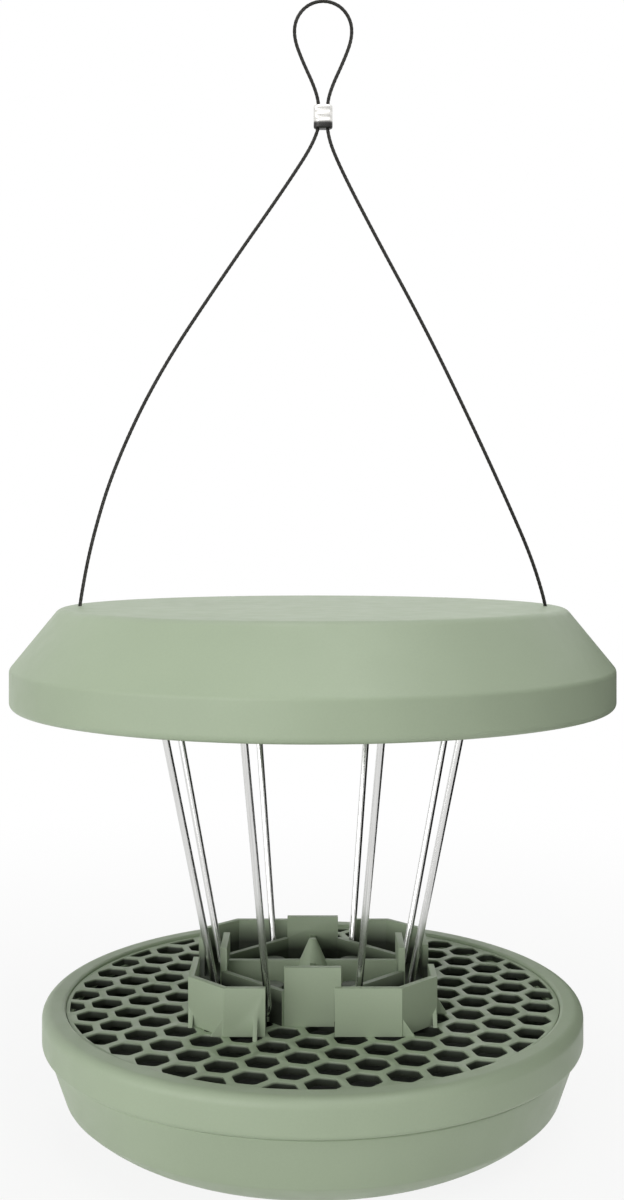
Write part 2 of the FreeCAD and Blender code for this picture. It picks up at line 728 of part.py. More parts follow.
def make_roof_shell():
    """The turned roof: flat top, steep slope and upright band, with screw bosses and cable holes."""
    body = new_body("roof_shell", roof_bottom)
    profile = new_sketch(body, "roof_profile", "XZ_Plane")
    run = (s.roof_radius - s.roof_plateau_radius).value
    drop = (s.roof_height - s.roof_band_height).value
    slope = math.atan2(drop, run)
    top_shift = s.roof_wall * math.tan(slope / 2)
    side_shift = s.roof_wall * math.tan((math.pi / 2 - slope) / 2)
    under = s.roof_height - s.roof_wall
    points = (
        (ZERO, s.roof_height),
        (s.roof_plateau_radius, s.roof_height),
        (s.roof_radius, s.roof_band_height),
        (s.roof_radius, ZERO),
        (s.roof_radius - s.roof_wall, ZERO),
        (s.roof_radius - s.roof_wall, s.roof_band_height - side_shift),
        (s.roof_plateau_radius - top_shift, under),
        (ZERO, under),
    )
    outline(profile, points)
    turn(body, "roof_turn", profile)
    place = diagonal(s.roof_screw_circle)
    plan = new_sketch(body, "roof_boss_plan", "XY_Plane", under - s.boss_height)
    circle(plan, place, place, boss_radius)
    boss = pad(body, "roof_boss", plan, s.boss_height + s.roof_wall / 2)
    repeat(body, "roof_bosses", [boss], SIDES)
    plan = new_sketch(body, "roof_hole_plan", "XY_Plane", under - s.boss_height)
    circle(plan, place, place, s.screw_radius + s.screw_fit)
    hole = cut_up(body, "roof_hole", plan, s.screw_grip + s.screw_tip_gap)
    repeat(body, "roof_holes", [hole], SIDES)
    plan = new_sketch(body, "cable_hole_plan", "XY_Plane", under)
    circle(plan, s.cable_half_span, 0, cable_radius + s.cable_play)
    hole = cut_up(body, "cable_hole", plan, s.roof_wall * 2)
    base = repeat(body, "cable_holes", [hole], 2)
    roundings = (
        ("roof_shoulder", (s.roof_plateau_radius, s.roof_height), s.roof_shoulder_round),
        ("roof_crease", (s.roof_radius, s.roof_band_height), s.roof_crease_round),
        ("roof_edge", (s.roof_radius, ZERO), s.roof_edge_round),
    )
    for name, ring, radius in roundings:
        base = round_off(body, name, base, ring_edges(base, [ring]), radius)
    return body


def make_cable_ends():
    """The cable's two tails through the roof and the stops crimped on them."""
    for side, sign in (("left", -1), ("right", 1)):
        x = s.cable_half_span * sign
        stop_bottom = roof_under - s.stop_length
        sleeve = doc.addObject("Part::Cylinder", f"{side}_sleeve")
        sleeve.setExpression("Radius", (cable_radius + s.crimp_fit + s.stop_wall).text)
        sleeve.setExpression("Height", s.stop_length.text)
        bore = doc.addObject("Part::Cylinder", f"{side}_bore")
        bore.setExpression("Radius", (cable_radius + s.crimp_fit).text)
        bore.setExpression("Height", s.stop_length.text)
        stop = doc.addObject("Part::Cut", f"{side}_end_stop")
        stop.Base = sleeve
        stop.Tool = bore
        stop.setExpression("Placement.Base.x", x.text)
        stop.setExpression("Placement.Base.z", stop_bottom.text)
        tail = doc.addObject("Part::Cylinder", f"{side}_cable_tail")
        tail.setExpression("Radius", cable_radius.text)
        tail.setExpression("Height", (s.tail_length + s.stop_length + s.roof_wall).text)
        tail.setExpression("Placement.Base.x", x.text)
        tail.setExpression("Placement.Base.z", (stop_bottom - s.tail_length).text)


def make_hanger_cable():
    """The cable from hole to hole, in straight runs joined by arcs as large as the runs allow."""
    points = [V(x, 0, cable_height.value + height) for x, height in CABLE_ROUTE]
    radii = []
    for before, corner, after in zip(points, points[1:], points[2:]):
        shorter = min((corner - before).Length, (after - corner).Length)
        turned = (corner - before).getAngle(after - corner)
        radii.append(ARC_SHARE * shorter / math.tan(turned / 2))
    path = rounded_path(points, radii)
    print("cable length", round(path.Length, 1), "radii", [round(radius, 1) for radius in radii])
    add_shape("hanger_cable", tube(path, points[0], points[1], cable_radius.value))


def make_loop_ferrule():
    """The oval sleeve that is crimped over the cable's two strands below the loop."""
    lower_end = cable_height + s.cable_top - s.ferrule_below
    body = new_body("loop_ferrule", lower_end)
    body.setExpression("Placement.Base.x", s.ferrule_middle.text)
    half = s.ferrule_pitch / 2
    side_radius = cable_radius + s.crimp_fit + s.ferrule_wall
    plan = new_sketch(body, "ferrule_plan")
    outline(
        plan,
        (
            (-half, -side_radius),
            (half, -side_radius),
            (half, side_radius),
            (-half, side_radius),
        ),
    )
    pad(body, "ferrule_middle_block", plan, s.ferrule_length)
    for name, x in (("left", -half), ("right", half)):
        plan = new_sketch(body, f"ferrule_{name}_plan")
        circle(plan, x, 0, side_radius)
        base = pad(body, f"ferrule_{name}_side", plan, s.ferrule_length)
    doc.recompute()
    ends = []
    for number, edge in enumerate(base.Shape.Edges, start=1):
        level = edge.BoundBox.ZLength < 0.01
        if level:
            ends.append(f"Edge{number}")
    base = round_off(body, "ferrule_ends", base, ends, s.ferrule_round)
    for name, x in (("left", -half), ("right", half)):
        plan = new_sketch(body, f"strand_{name}_plan")
        circle(plan, x, 0, cable_radius + s.crimp_fit)
        cut_up(body, f"strand_{name}", plan, s.ferrule_length * 2)
    return body


def check_document():
    """Stops if any object failed, and if a cut took nothing away."""
    for item in doc.Objects:
        if "Invalid" in item.State or "Error" in item.State:
            raise RuntimeError(f"{item.Label} is {item.State}")
        if item.isDerivedFrom("PartDesign::Pocket") and item.Shape.Volume >= item.BaseFeature.Shape.Volume:
            raise RuntimeError(f"{item.Label} cuts nothing")


def write_parts():
    """Writes each sub-part that is no other object's ingredient."""
    os.makedirs("parts", exist_ok=True)
    kinds = ("PartDesign::Body", "Part::Feature", "Part::Cut", "Part::Cylinder")
    ingredients = [item for cut in doc.Objects if cut.TypeId == "Part::Cut" for item in (cut.Base, cut.Tool)]
    for item in doc.Objects:
        if item.TypeId not in kinds or item in ingredients:
            continue
        if item.Shape.isNull() or not item.Shape.isValid():
            raise RuntimeError(f"{item.Label} has no valid shape")
        item.Shape.exportStep(f"parts/{item.Label}.step")
        print(item.Label, len(item.Shape.Solids), round(item.Shape.Volume, 1))


make_crumb_bowl()
make_tray_rim()
make_honeycomb_grid()
make_wire_hub()
hub_head_bottom = grid_top - s.grid_thickness - s.screw_head_height
make_screws("hub_screws", s.hub_screw_circle, hub_head_bottom, s.grid_thickness)
make_wires()
make_wire_carrier()
carrier_head_bottom = carrier_bottom - s.screw_head_height
make_screws("carrier_screws", s.roof_screw_circle, carrier_head_bottom, s.carrier_thickness)
make_roof_shell()
make_cable_ends()
make_hanger_cable()
make_loop_ferrule()
doc.recompute()
check_document()
write_parts()
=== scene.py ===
"""Fat ball feeder for the garden: the visual model, built round the packed CAD frame."""

import math

import bmesh
import bpy
import numpy as np
from bpy.props import FloatProperty, FloatVectorProperty, IntProperty, PointerProperty
from bpy.types import Operator, Panel, PropertyGroup
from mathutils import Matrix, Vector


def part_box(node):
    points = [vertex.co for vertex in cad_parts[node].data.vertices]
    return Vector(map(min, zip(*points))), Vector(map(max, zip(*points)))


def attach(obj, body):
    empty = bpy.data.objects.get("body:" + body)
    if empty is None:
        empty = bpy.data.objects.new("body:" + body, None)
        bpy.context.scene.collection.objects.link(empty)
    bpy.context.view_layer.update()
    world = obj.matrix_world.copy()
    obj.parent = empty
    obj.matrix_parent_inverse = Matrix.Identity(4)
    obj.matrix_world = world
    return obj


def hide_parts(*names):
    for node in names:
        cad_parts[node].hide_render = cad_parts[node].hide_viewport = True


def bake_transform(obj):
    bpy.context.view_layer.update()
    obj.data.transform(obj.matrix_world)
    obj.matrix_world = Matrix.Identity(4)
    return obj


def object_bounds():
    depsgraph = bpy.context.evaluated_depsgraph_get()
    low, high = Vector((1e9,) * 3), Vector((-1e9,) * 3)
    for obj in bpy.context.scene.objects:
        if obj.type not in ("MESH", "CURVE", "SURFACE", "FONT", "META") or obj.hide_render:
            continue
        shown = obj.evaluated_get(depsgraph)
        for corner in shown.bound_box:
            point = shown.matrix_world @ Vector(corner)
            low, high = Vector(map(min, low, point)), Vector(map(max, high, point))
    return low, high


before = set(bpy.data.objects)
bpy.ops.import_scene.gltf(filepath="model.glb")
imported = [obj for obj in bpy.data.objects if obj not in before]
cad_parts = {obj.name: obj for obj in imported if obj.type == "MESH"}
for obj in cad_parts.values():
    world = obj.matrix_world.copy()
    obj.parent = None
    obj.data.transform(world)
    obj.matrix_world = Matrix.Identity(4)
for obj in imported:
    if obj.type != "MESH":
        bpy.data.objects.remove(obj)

bl_info = {
    "name": "Fat ball feeder",
    "version": (1, 0, 0),
    "blender": (4, 5, 0),
    "location": "3D View > Sidebar > Feeder",
    "description": "Builds the feeder's roof, tray, grid, hub, wires and hanging cable round its CAD frame",
    "category": "Add Mesh",
}

MM = 0.001
TURN = 2 * math.pi
QUARTER = math.pi / 2
MERGE_DISTANCE = 2e-7
CAD_MERGE_DISTANCE = 1e-6
FLAT_ANGLE = math.radians(0.5)
SHARP_ANGLE = math.radians(34)
SEGMENTS = 288
# An outline that turns back by more than this is at an open end, which gets no arc.
OPEN_END_ANGLE = 3.0
# Share of a grid's width by which the next like grid's UV map is moved on, so that their streaks differ.
UV_STEP = 0.37
# The range that holds nearly all values of a noise texture.
NOISE_RANGE = (0.32, 0.68)
# Value of the attribute at which the painted shade on cell walls, in the bowl and in the pockets is full.
FULL_SHADE_MARK = 0.3

CAD_LOW, CAD_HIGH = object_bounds()
ROOF_LOW, ROOF_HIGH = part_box("roof_shell")
RIM_LOW, RIM_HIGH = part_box("tray_rim")
BOWL_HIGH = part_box("crumb_bowl")[1]
CARRIER_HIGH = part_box("wire_carrier")[1]
GRID_LOW, GRID_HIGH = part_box("honeycomb_grid")
FERRULE_LOW, FERRULE_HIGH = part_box("loop_ferrule")
STOP_LOW, STOP_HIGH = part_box("right_end_stop")
TAIL_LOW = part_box("right_cable_tail")[0]

# The cable's hinge height and its route from hole to hole, as X and height over the hinge, in millimetres.
CABLE_PIVOT = 171.8
CABLE_ROUTE = (
    (-78.5, 0.0), (-74.6, 20.7), (-66.9, 46.2), (-52.2, 77.2), (-29.2, 111.8), (-9.2, 140.2),
    (2.2, 158.0), (2.2, 168.0), (0.6, 174.0), (-3.6, 183.0), (-6.3, 190.4), (-5.9, 196.5),
    (-2.3, 201.4), (3.5, 203.3), (9.3, 201.4), (12.9, 196.5), (13.3, 190.4), (10.6, 183.0),
    (6.4, 174.0), (4.8, 168.0), (4.8, 158.0), (9.1, 147.0), (20.7, 124.5), (38.3, 92.0),
    (53.7, 60.2), (65.7, 34.0), (73.7, 15.5), (78.5, 0.0),
)


def length(name, description, millimetres):
    """A length property in metres whose default is given in millimetres."""
    return FloatProperty(
        name=name, description=description, default=millimetres * MM, min=0.0, precision=5,
        subtype="DISTANCE", unit="LENGTH",
    )


def share(name, description, default):
    """A property between nothing and all."""
    return FloatProperty(
        name=name, description=description, default=default, min=0.0, max=1.0, subtype="FACTOR"
    )


def tint(name, description, default):
    """A colour property in linear light."""
    return FloatVectorProperty(
        name=name, description=description, default=default, size=3, min=0.0, max=1.0, subtype="COLOR"
    )


def power(name, description, watts):
    """A lamp's power."""
    return FloatProperty(name=name, description=description, default=watts, min=0.0, unit="POWER")


class FeederRoofSettings(PropertyGroup):
    """Sizes of the turned roof."""

    plateau: length("Plateau radius", "Radius of the flat top before its rounding", 84)
    band: length("Band height", "Height of the upright band below the slope", 12.4)
    wall: length("Wall", "Thickness of the moulding", 2.6)
    shoulder: length("Shoulder round", "Rounding between the top and the slope", 4)
    crease: length("Crease round", "Rounding between the slope and the band", 2.5)
    edge: length("Lower edge round", "Rounding of the band's lower edge", 2)
    hole: length("Cable hole radius", "Radius of the two holes for the cable", 1.0)
    span: length("Cable hole reach", "Distance of a cable hole from the middle", 78.5)
    boss: length("Boss radius", "Radius of the four screw bosses under the top", 4)
    boss_place: length(
        "Boss offset", "Distance of each boss from the middle along X and Y", 40 * math.sqrt(0.5)
    )


class FeederTraySettings(PropertyGroup):
    """Sizes of the turned rim and bowl."""

    skirt_depth: length("Skirt depth", "Height of the rim's skirt", 11.8)
    skirt_wall: length("Skirt wall", "Thickness of the skirt", 2.8)
    skirt_round: length("Skirt round", "Rounding of the skirt's lower edge", 1.5)
    lip_width: length("Lip width", "Width of the rounded lip on top", 7.6)
    lip_round: length("Outer lip round", "Rounding of the lip's outer edge", 3.2)
    lip_inner: length("Inner lip round", "Rounding of the lip's inner edge", 1.2)
    ledge_width: length("Ledge width", "How far the grid's ledge reaches inwards", 2.6)
    ledge_thickness: length("Ledge thickness", "Thickness of the grid's ledge", 2)
    web_gap: length("Web gap", "Free space between the bowl and the web inside it", 1.0)
    bowl_wall: length("Bowl wall", "Thickness of the bowl", 2.2)
    base: length("Base radius", "Radius of the flat base", 58)
    edge: length("Edge radius", "Radius of the bowl's upright edge inside the skirt", 86.3)
    bead_gap: length("Bead gap", "Free height between the bowl's bead and the skirt", 0.4)
    shoulder: length("Shoulder radius", "Radius where the curved side turns upright", 82)
    shoulder_height: length("Shoulder height", "Height where the curved side turns upright", 12.5)
    curve: length("Side curve", "Radius of the lower side's curve", 45)
    drain: length("Drain hole radius", "Radius of the four drain holes", 2)
    drain_reach: length("Drain hole reach", "Distance of a drain hole from the middle", 34)


class FeederWireSettings(PropertyGroup):
    """Sizes of the four bent cage wires."""

    diameter: length("Diameter", "Thickness of the wire", 2.4)
    foot_half: length("Half foot", "Half the width of the foot between its corners", 12.2)
    foot_reach: length("Foot reach", "Distance of the foot from the middle", 31.5)
    foot_height: length("Foot height", "Height of the foot's centre line", 43.1)
    top_half: length("Half top", "Half the width between the two upper bends", 21.9)
    top_reach: length("Top reach", "Distance of the upper ends from the middle", 55.0)
    top_height: length("Top height", "Height of the upper ends' centre line", 166.0)
    tab: length("Tab", "Length of the bent-over ends", 8)
    foot_bend: length("Foot bend", "Bend radius at the foot", 5)
    top_bend: length("Top bend", "Bend radius at the upper ends", 2.4)
    end_round: length("End round", "Rounding of the cut ends", 0.35)


class FeederHangerSettings(PropertyGroup):
    """Sizes of the hanging cable and its crimps."""

    diameter: length("Cable diameter", "Thickness over the strands", 1.2)
    lay: length("Lay length", "Length in which a strand goes once round the cable", 9.5)
    strands: IntProperty(name="Outer strands", description="Strands round the core", default=6, min=3, max=12)
    spacing: length("Ring spacing", "Distance between the rings of a strand's mesh", 0.48)
    ferrule_pitch: length("Ferrule pitch", "Distance between the two runs in the ferrule", 2.6)
    ferrule_round: length("Ferrule end round", "Rounding of the ferrule's ends", 0.7)
    press: length("Press depth", "Depth of the marks pressed into the ferrule", 0.32)


class FeederEdgeSettings(PropertyGroup):
    """Edge roundings of the pieces that keep their CAD shape."""

    grid: length("Grid edges", "Rounding along the honeycomb's edges", 0.5)
    hub: length("Hub edges", "Rounding along the hub's edges", 0.3)
    carrier: length("Carrier edges", "Rounding along the carrier's edges", 0.35)


class FeederFinishSettings(PropertyGroup):
    """Colours of the materials, in linear light."""

    sage: tint("Sage plastic", "Colour of all moulded parts", (0.395, 0.475, 0.335))
    # Painted shade: the share of the sage colour left on the cell walls, inside the bowl and low in the hub's
    # pockets.
    hollow: share("Hollow tone", "Share of that colour left on cell walls and in the bowl and pockets", 0.1)
    wire: tint("Wire steel", "Colour of the cage wires", (0.7, 0.7, 0.69))
    cable: tint("Cable steel", "Colour of the hanging cable", (0.055, 0.054, 0.05))
    crimp: tint("Crimp metal", "Colour of the ferrule and end stops", (0.80, 0.79, 0.76))
    screw: tint("Screw steel", "Colour of the screws", (0.58, 0.56, 0.50))


class FeederStageSettings(PropertyGroup):
    """Camera, lamps and floor."""

    distance: length("Camera distance", "Distance of the camera in front of the middle", 471.4)
    height: length("Camera height", "Height of the camera over the floor", 194.9)
    lens: FloatProperty(name="Lens", description="Focal length", default=42.0, min=1.0, unit="CAMERA")
    side: power("Side lamp", "Power of the low lamp on the left", 7.1)
    front: power("Front lamp", "Power of the lamp in front on the left", 9.2)
    top: power("Top lamp", "Power of the high lamp in front on the right", 7.2)
    over: power("Overhead lamp", "Power of the lamp over the feeder", 7.2)
    back: power("Back lamp", "Power of the lamp behind", 6.0)
    lamp_size: length("Lamp size", "Side of each square lamp", 1000)
    ambient: share("Ambient light", "Strength of the light from all round", 0.15)
    floor: tint("Floor", "Colour of the floor", (0.86, 0.86, 0.85))
    card: tint("Card", "Colour of the card that bright metal mirrors", (0.02, 0.02, 0.02))


def rounded_outline(corners, radii, closed, steps=7, guard=0.25 * MM):
    """A flat outline with its corners turned into tangent arcs.

    An arc's centre lies one radius inwards of the point where the arriving run leaves for the arc, and its
    points are that centre plus the spoke to that point, turned step by step through the corner's angle. A
    point a little way along each run keeps the run's shading flat.
    """
    corners = np.asarray(corners, float)
    radius = np.asarray(radii, float)[:, None]
    arriving = corners - np.roll(corners, 1, axis=0)
    leaving = np.roll(corners, -1, axis=0) - corners
    arriving /= np.linalg.norm(arriving, axis=1, keepdims=True)
    leaving /= np.linalg.norm(leaving, axis=1, keepdims=True)
    bend = np.arctan2(
        arriving[:, 0] * leaving[:, 1] - arriving[:, 1] * leaving[:, 0], np.sum(arriving * leaving, axis=1)
    )[:, None]
    radius = np.where(np.abs(bend) < OPEN_END_ANGLE, radius, 0.0)
    first = corners - arriving * radius * np.tan(np.abs(bend) / 2) * (radius > 0)
    inward = np.sign(bend) * np.stack([-arriving[:, 1], arriving[:, 0]], axis=1)
    centre = first + inward * radius
    spoke = first - centre
    angle = bend * np.linspace(0, 1, steps)
    turned_x = spoke[:, :1] * np.cos(angle) - spoke[:, 1:] * np.sin(angle)
    turned_y = spoke[:, :1] * np.sin(angle) + spoke[:, 1:] * np.cos(angle)
    arcs = centre[:, None] + np.stack([turned_x, turned_y], axis=2)
    lead = guard * (radius > 0)
    points = np.concatenate(
        [arcs[:, :1] - (arriving * lead)[:, None], arcs, arcs[:, -1:] + (leaving * lead)[:, None]], axis=1
    ).reshape(-1, 2)
    step = np.linalg.norm(np.diff(points, axis=0, append=points[:1]), axis=1)
    if not closed:
        step[-1] = 1.0
    return points[step > MERGE_DISTANCE]


def arc_between(start, end, radius, steps):
    """Points of the circle arc that bulges to the right of the way from start to end, and its centre.

    The centre lies left of the chord's middle, by the other side of the right triangle that half the chord
    makes with the radius.
    """
    start, end = np.asarray(start, float), np.asarray(end, float)
    chord = end - start
    reach = np.linalg.norm(chord)
    left = np.array([-chord[1], chord[0]]) / reach
    centre = (start + end) / 2 + left * math.sqrt(radius**2 - (reach / 2) ** 2)
    way = [math.atan2(*(point - centre)[::-1]) for point in (start, end)]
    angle = np.linspace(way[0], way[1], steps)
    return centre + radius * np.stack([np.cos(angle), np.sin(angle)], axis=1), centre


def distances_along(points):
    """For each point of a line, its distance from the first one along the line."""
    return np.concatenate([[0], np.cumsum(np.linalg.norm(np.diff(points, axis=0), axis=1))])


def points_along(points, places):
    """Points at given distances along a line, on the straights between its own points."""
    along = distances_along(points)
    return np.stack([np.interp(places, along, column) for column in points.T], axis=1)


def directions(path):
    """The direction of a path at each of its points, with a length of one."""
    forward = np.gradient(path, axis=0)
    return forward / np.linalg.norm(forward, axis=1, keepdims=True)


def turned_grid(outline, segments):
    """An outline of radius and height carried round the Z axis: x = r cos a, y = r sin a, z = h."""
    angle = np.linspace(0, TURN, segments, endpoint=False)[:, None]
    radius, height = outline[None, :, 0], outline[None, :, 1]
    return np.stack([radius * np.cos(angle), radius * np.sin(angle), height + 0 * angle], axis=2)


def tube_grid(path, across, up, radius, sides):
    """A circle carried along a path: path point + r (cos b across + sin b up), with an r for each point."""
    angle = np.linspace(0, TURN, sides, endpoint=False)[None, :, None]
    ring = np.cos(angle) * across[:, None] + np.sin(angle) * up[:, None]
    return path[:, None] + radius[:, None, None] * ring


def grid_faces(rows, columns, wrap_rows, wrap_columns):
    """Corner numbers of the quads between neighbouring rows and columns of a grid."""
    index = np.arange(rows * columns).reshape(rows, columns)
    if wrap_rows:
        index = np.vstack([index, index[:1]])
    if wrap_columns:
        index = np.hstack([index, index[:, :1]])
    return np.stack([index[:-1, :-1], index[1:, :-1], index[1:, 1:], index[:-1, 1:]], axis=2).reshape(-1, 4)


def grid_uv(rows, columns, wrap_rows, wrap_columns):
    """For each corner of those quads, its row and column number, counted past the seam."""
    row, column = np.meshgrid(np.arange(rows + wrap_rows), np.arange(columns + wrap_columns), indexing="ij")
    pair = np.stack([row, column], axis=2)
    return np.stack([pair[:-1, :-1], pair[1:, :-1], pair[1:, 1:], pair[:-1, 1:]], axis=2).reshape(-1, 2)


def tidy_mesh(mesh):
    """Merges doubles, closes seams and poles, turns faces outwards and shades all but sharp edges smooth."""
    work = bmesh.new()
    work.from_mesh(mesh)
    bmesh.ops.remove_doubles(work, verts=work.verts, dist=MERGE_DISTANCE)
    bmesh.ops.dissolve_degenerate(work, edges=work.edges, dist=MERGE_DISTANCE)
    bmesh.ops.recalc_face_normals(work, faces=work.faces)
    work.to_mesh(mesh)
    work.free()
    mesh.shade_smooth()
    mesh.set_sharp_from_angle(angle=SHARP_ANGLE)


def mesh_of_grids(name, grids, wrap_rows, wrap_columns, row_length=1.0, column_length=1.0, marks=None):
    """A mesh of several like grids, with a UV map that counts along rows and columns in metres.

    marks names point attributes and gives their values, one for each grid point.
    """
    grids = np.asarray(grids, float)
    count, rows, columns = grids.shape[:3]
    quads = grid_faces(rows, columns, wrap_rows, wrap_columns)
    faces = (quads[None] + (np.arange(count) * rows * columns)[:, None, None]).reshape(-1, 4)
    mesh = bpy.data.meshes.new(name)
    mesh.from_pydata(grids.reshape(-1, 3), [], faces)
    uv = grid_uv(rows, columns, wrap_rows, wrap_columns) * np.array([row_length, column_length])
    shift = np.arange(count)[:, None, None] * np.array([0.0, UV_STEP * columns * column_length])
    layer = mesh.uv_layers.new(name="surface")
    layer.data.foreach_set("uv", (uv[None] + shift).astype(np.float32).ravel())
    for label, values in (marks or {}).items():
        attribute = mesh.attributes.new(label, "FLOAT", "POINT")
        attribute.data.foreach_set("value", np.asarray(values, np.float32).ravel())
    tidy_mesh(mesh)
    return mesh


def new_object(name, data):
    """An object in the scene."""
    item = bpy.data.objects.new(name, data)
    bpy.context.scene.collection.objects.link(item)
    return item


def new_piece(name, mesh, material):
    """An object at the origin with one material."""
    piece = new_object(name, mesh)
    mesh.materials.clear()
    mesh.materials.append(material)
    return piece


def joined_with(mesh, tool, operation):
    """A mesh cut by or joined with another one, which is used up."""
    holder, cutter = new_object("work_piece", mesh), new_object("work_tool", tool)
    change = holder.modifiers.new("change", "BOOLEAN")
    change.object = cutter
    change.operation = operation
    change.solver = "EXACT"
    bpy.context.view_layer.update()
    result = bpy.data.meshes.new_from_object(holder.evaluated_get(bpy.context.evaluated_depsgraph_get()))
    result.name = mesh.name
    for item in (holder, cutter):
        bpy.data.objects.remove(item)
    for used in (mesh, tool):
        bpy.data.meshes.remove(used)
    tidy_mesh(result)
    return result


def pegs(places, radius, low, high, sides=32):
    """Upright round bars at several places: a closed outline of radius and height, turned and moved there."""
    outline = np.array([(0, low), (radius, low), (radius, high), (0, high)])
    bar = turned_grid(outline, sides)
    moves = np.pad(np.asarray(places, float), ((0, 0), (0, 1)))
    return mesh_of_grids("pegs", bar[None] + moves[:, None, None], True, False)


def four_corners(offset):
    """The four places at the same distance from the middle along X and Y."""
    return [(x, y) for x in (-offset, offset) for y in (-offset, offset)]


def softened_copy(node, name, width, material):
    """A copy of a CAD node's mesh: loose triangles merged, flat faces joined and its edges rounded off."""
    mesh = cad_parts[node].data.copy()
    mesh.name = name
    work = bmesh.new()
    work.from_mesh(mesh)
    bmesh.ops.remove_doubles(work, verts=work.verts, dist=CAD_MERGE_DISTANCE)
    bmesh.ops.dissolve_limit(work, angle_limit=FLAT_ANGLE, verts=work.verts, edges=work.edges)
    work.to_mesh(mesh)
    work.free()
    mesh.shade_smooth()
    piece = new_piece(name, mesh, material)
    edges = piece.modifiers.new("soft_edges", "BEVEL")
    edges.width = width
    edges.segments = 2
    edges.limit_method = "ANGLE"
    edges.angle_limit = SHARP_ANGLE
    edges.harden_normals = True
    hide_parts(node)
    return piece


def face_corners(mesh):
    """For every face corner of a mesh: its height, and the normal and the middle of its face."""
    points = np.empty(len(mesh.vertices) * 3, np.float32)
    mesh.vertices.foreach_get("co", points)
    corner = np.empty(len(mesh.loops), np.int32)
    mesh.loops.foreach_get("vertex_index", corner)
    normal, middle = np.empty((2, len(mesh.polygons) * 3), np.float32)
    mesh.polygons.foreach_get("normal", normal)
    mesh.polygons.foreach_get("center", middle)
    sides = np.empty(len(mesh.polygons), np.int32)
    mesh.polygons.foreach_get("loop_total", sides)
    normal, middle = (np.repeat(values.reshape(-1, 3), sides, axis=0) for values in (normal, middle))
    return points[2::3][corner], normal, middle


def mark_shaded_corners(mesh, values):
    """Marks face corners for painted shade, fully at the full shade value and not at all below nothing."""
    mark = mesh.attributes.new("hollow", "FLOAT", "CORNER")
    mark.data.foreach_set("value", values.astype(np.float32))


def feed(tree, node, inputs):
    """Links a socket to each named or numbered input of a node, or sets that input to a value."""
    for key, value in inputs.items():
        if isinstance(value, bpy.types.NodeSocket):
            tree.links.new(value, node.inputs[key])
        else:
            node.inputs[key].default_value = value


def place_node(tree, kind, inputs=None, **settings):
    """A new shader node with its settings and with what its inputs are fed."""
    node = tree.nodes.new(kind)
    for key, value in settings.items():
        setattr(node, key, value)
    feed(tree, node, inputs or {})
    return node


def spread_value(tree, source, low, high):
    """A noise value stretched between two values."""
    start, end = NOISE_RANGE
    inputs = {"Value": source, "From Min": start, "From Max": end, "To Min": low, "To Max": high}
    return place_node(tree, "ShaderNodeMapRange", inputs).outputs["Result"]


def spread_about(tree, source, middle, spread):
    """A noise value stretched from a middle value less a spread to that value plus the spread."""
    low, high = (arithmetic(tree, operation, middle, spread) for operation in ("SUBTRACT", "ADD"))
    return spread_value(tree, source, low, high)


def arithmetic(tree, operation, first, second):
    """A math node on two sockets or numbers."""
    return place_node(tree, "ShaderNodeMath", {0: first, 1: second}, operation=operation).outputs[0]


def shaded_colour(tree, colour, factor):
    """A colour multiplied by a value."""
    inputs = {0: colour, "Scale": factor}
    return place_node(tree, "ShaderNodeVectorMath", inputs, operation="SCALE").outputs[0]


def noise(tree, vector, scale, detail, roughness=0.5):
    """A noise texture's value."""
    inputs = {"Vector": vector, "Scale": scale, "Detail": detail, "Roughness": roughness}
    return place_node(tree, "ShaderNodeTexNoise", inputs).outputs["Fac"]


def mixed_shader(tree, factor, first, second):
    """A mix of two shaders, which is all the second one where the factor is one."""
    return place_node(tree, "ShaderNodeMixShader", {"Fac": factor, 1: first, 2: second}).outputs[0]


def new_group(name, values):
    """A shader node group from a place and a colour to a colour, a roughness and a height.

    values names its further inputs and gives their defaults. The group's tree, input sockets and output node
    are returned.
    """
    tree = bpy.data.node_groups.new(name, "ShaderNodeTree")
    tree.interface.new_socket("Vector", in_out="INPUT", socket_type="NodeSocketVector")
    colour = tree.interface.new_socket("Colour", in_out="INPUT", socket_type="NodeSocketColor")
    colour.default_value = (0.5, 0.5, 0.5, 1.0)
    for label, value in values.items():
        socket = tree.interface.new_socket(label, in_out="INPUT", socket_type="NodeSocketFloat")
        socket.default_value = value
    for label, kind in (("Colour", "Color"), ("Roughness", "Float"), ("Height", "Float")):
        tree.interface.new_socket(label, in_out="OUTPUT", socket_type=f"NodeSocket{kind}")
    return tree, place_node(tree, "NodeGroupInput").outputs, place_node(tree, "NodeGroupOutput")


def make_moulded_grain():
    """Group for moulded plastic: slow colour drift, patches of gloss and a fine spark-eroded grain."""
    drift_scale, patch_scale = 22.0, 160.0
    speck_low, speck_high = 0.985, 1.015
    tree, start, end = new_group(
        "moulded_grain", {"Drift": 0.04, "Grain Scale": 1800.0, "Roughness": 0.45, "Gloss Spread": 0.06}
    )
    drift = spread_about(tree, noise(tree, start["Vector"], drift_scale, detail=2.0), 1.0, start["Drift"])
    grain = noise(tree, start["Vector"], start["Grain Scale"], detail=3.0, roughness=0.6)
    tone = arithmetic(tree, "MULTIPLY", drift, spread_value(tree, grain, speck_low, speck_high))
    patches = noise(tree, start["Vector"], patch_scale, detail=3.0)
    gloss = spread_about(tree, patches, start["Roughness"], start["Gloss Spread"])
    colour = shaded_colour(tree, start["Colour"], tone)
    feed(tree, end, {"Colour": colour, "Roughness": gloss, "Height": grain})
    return tree


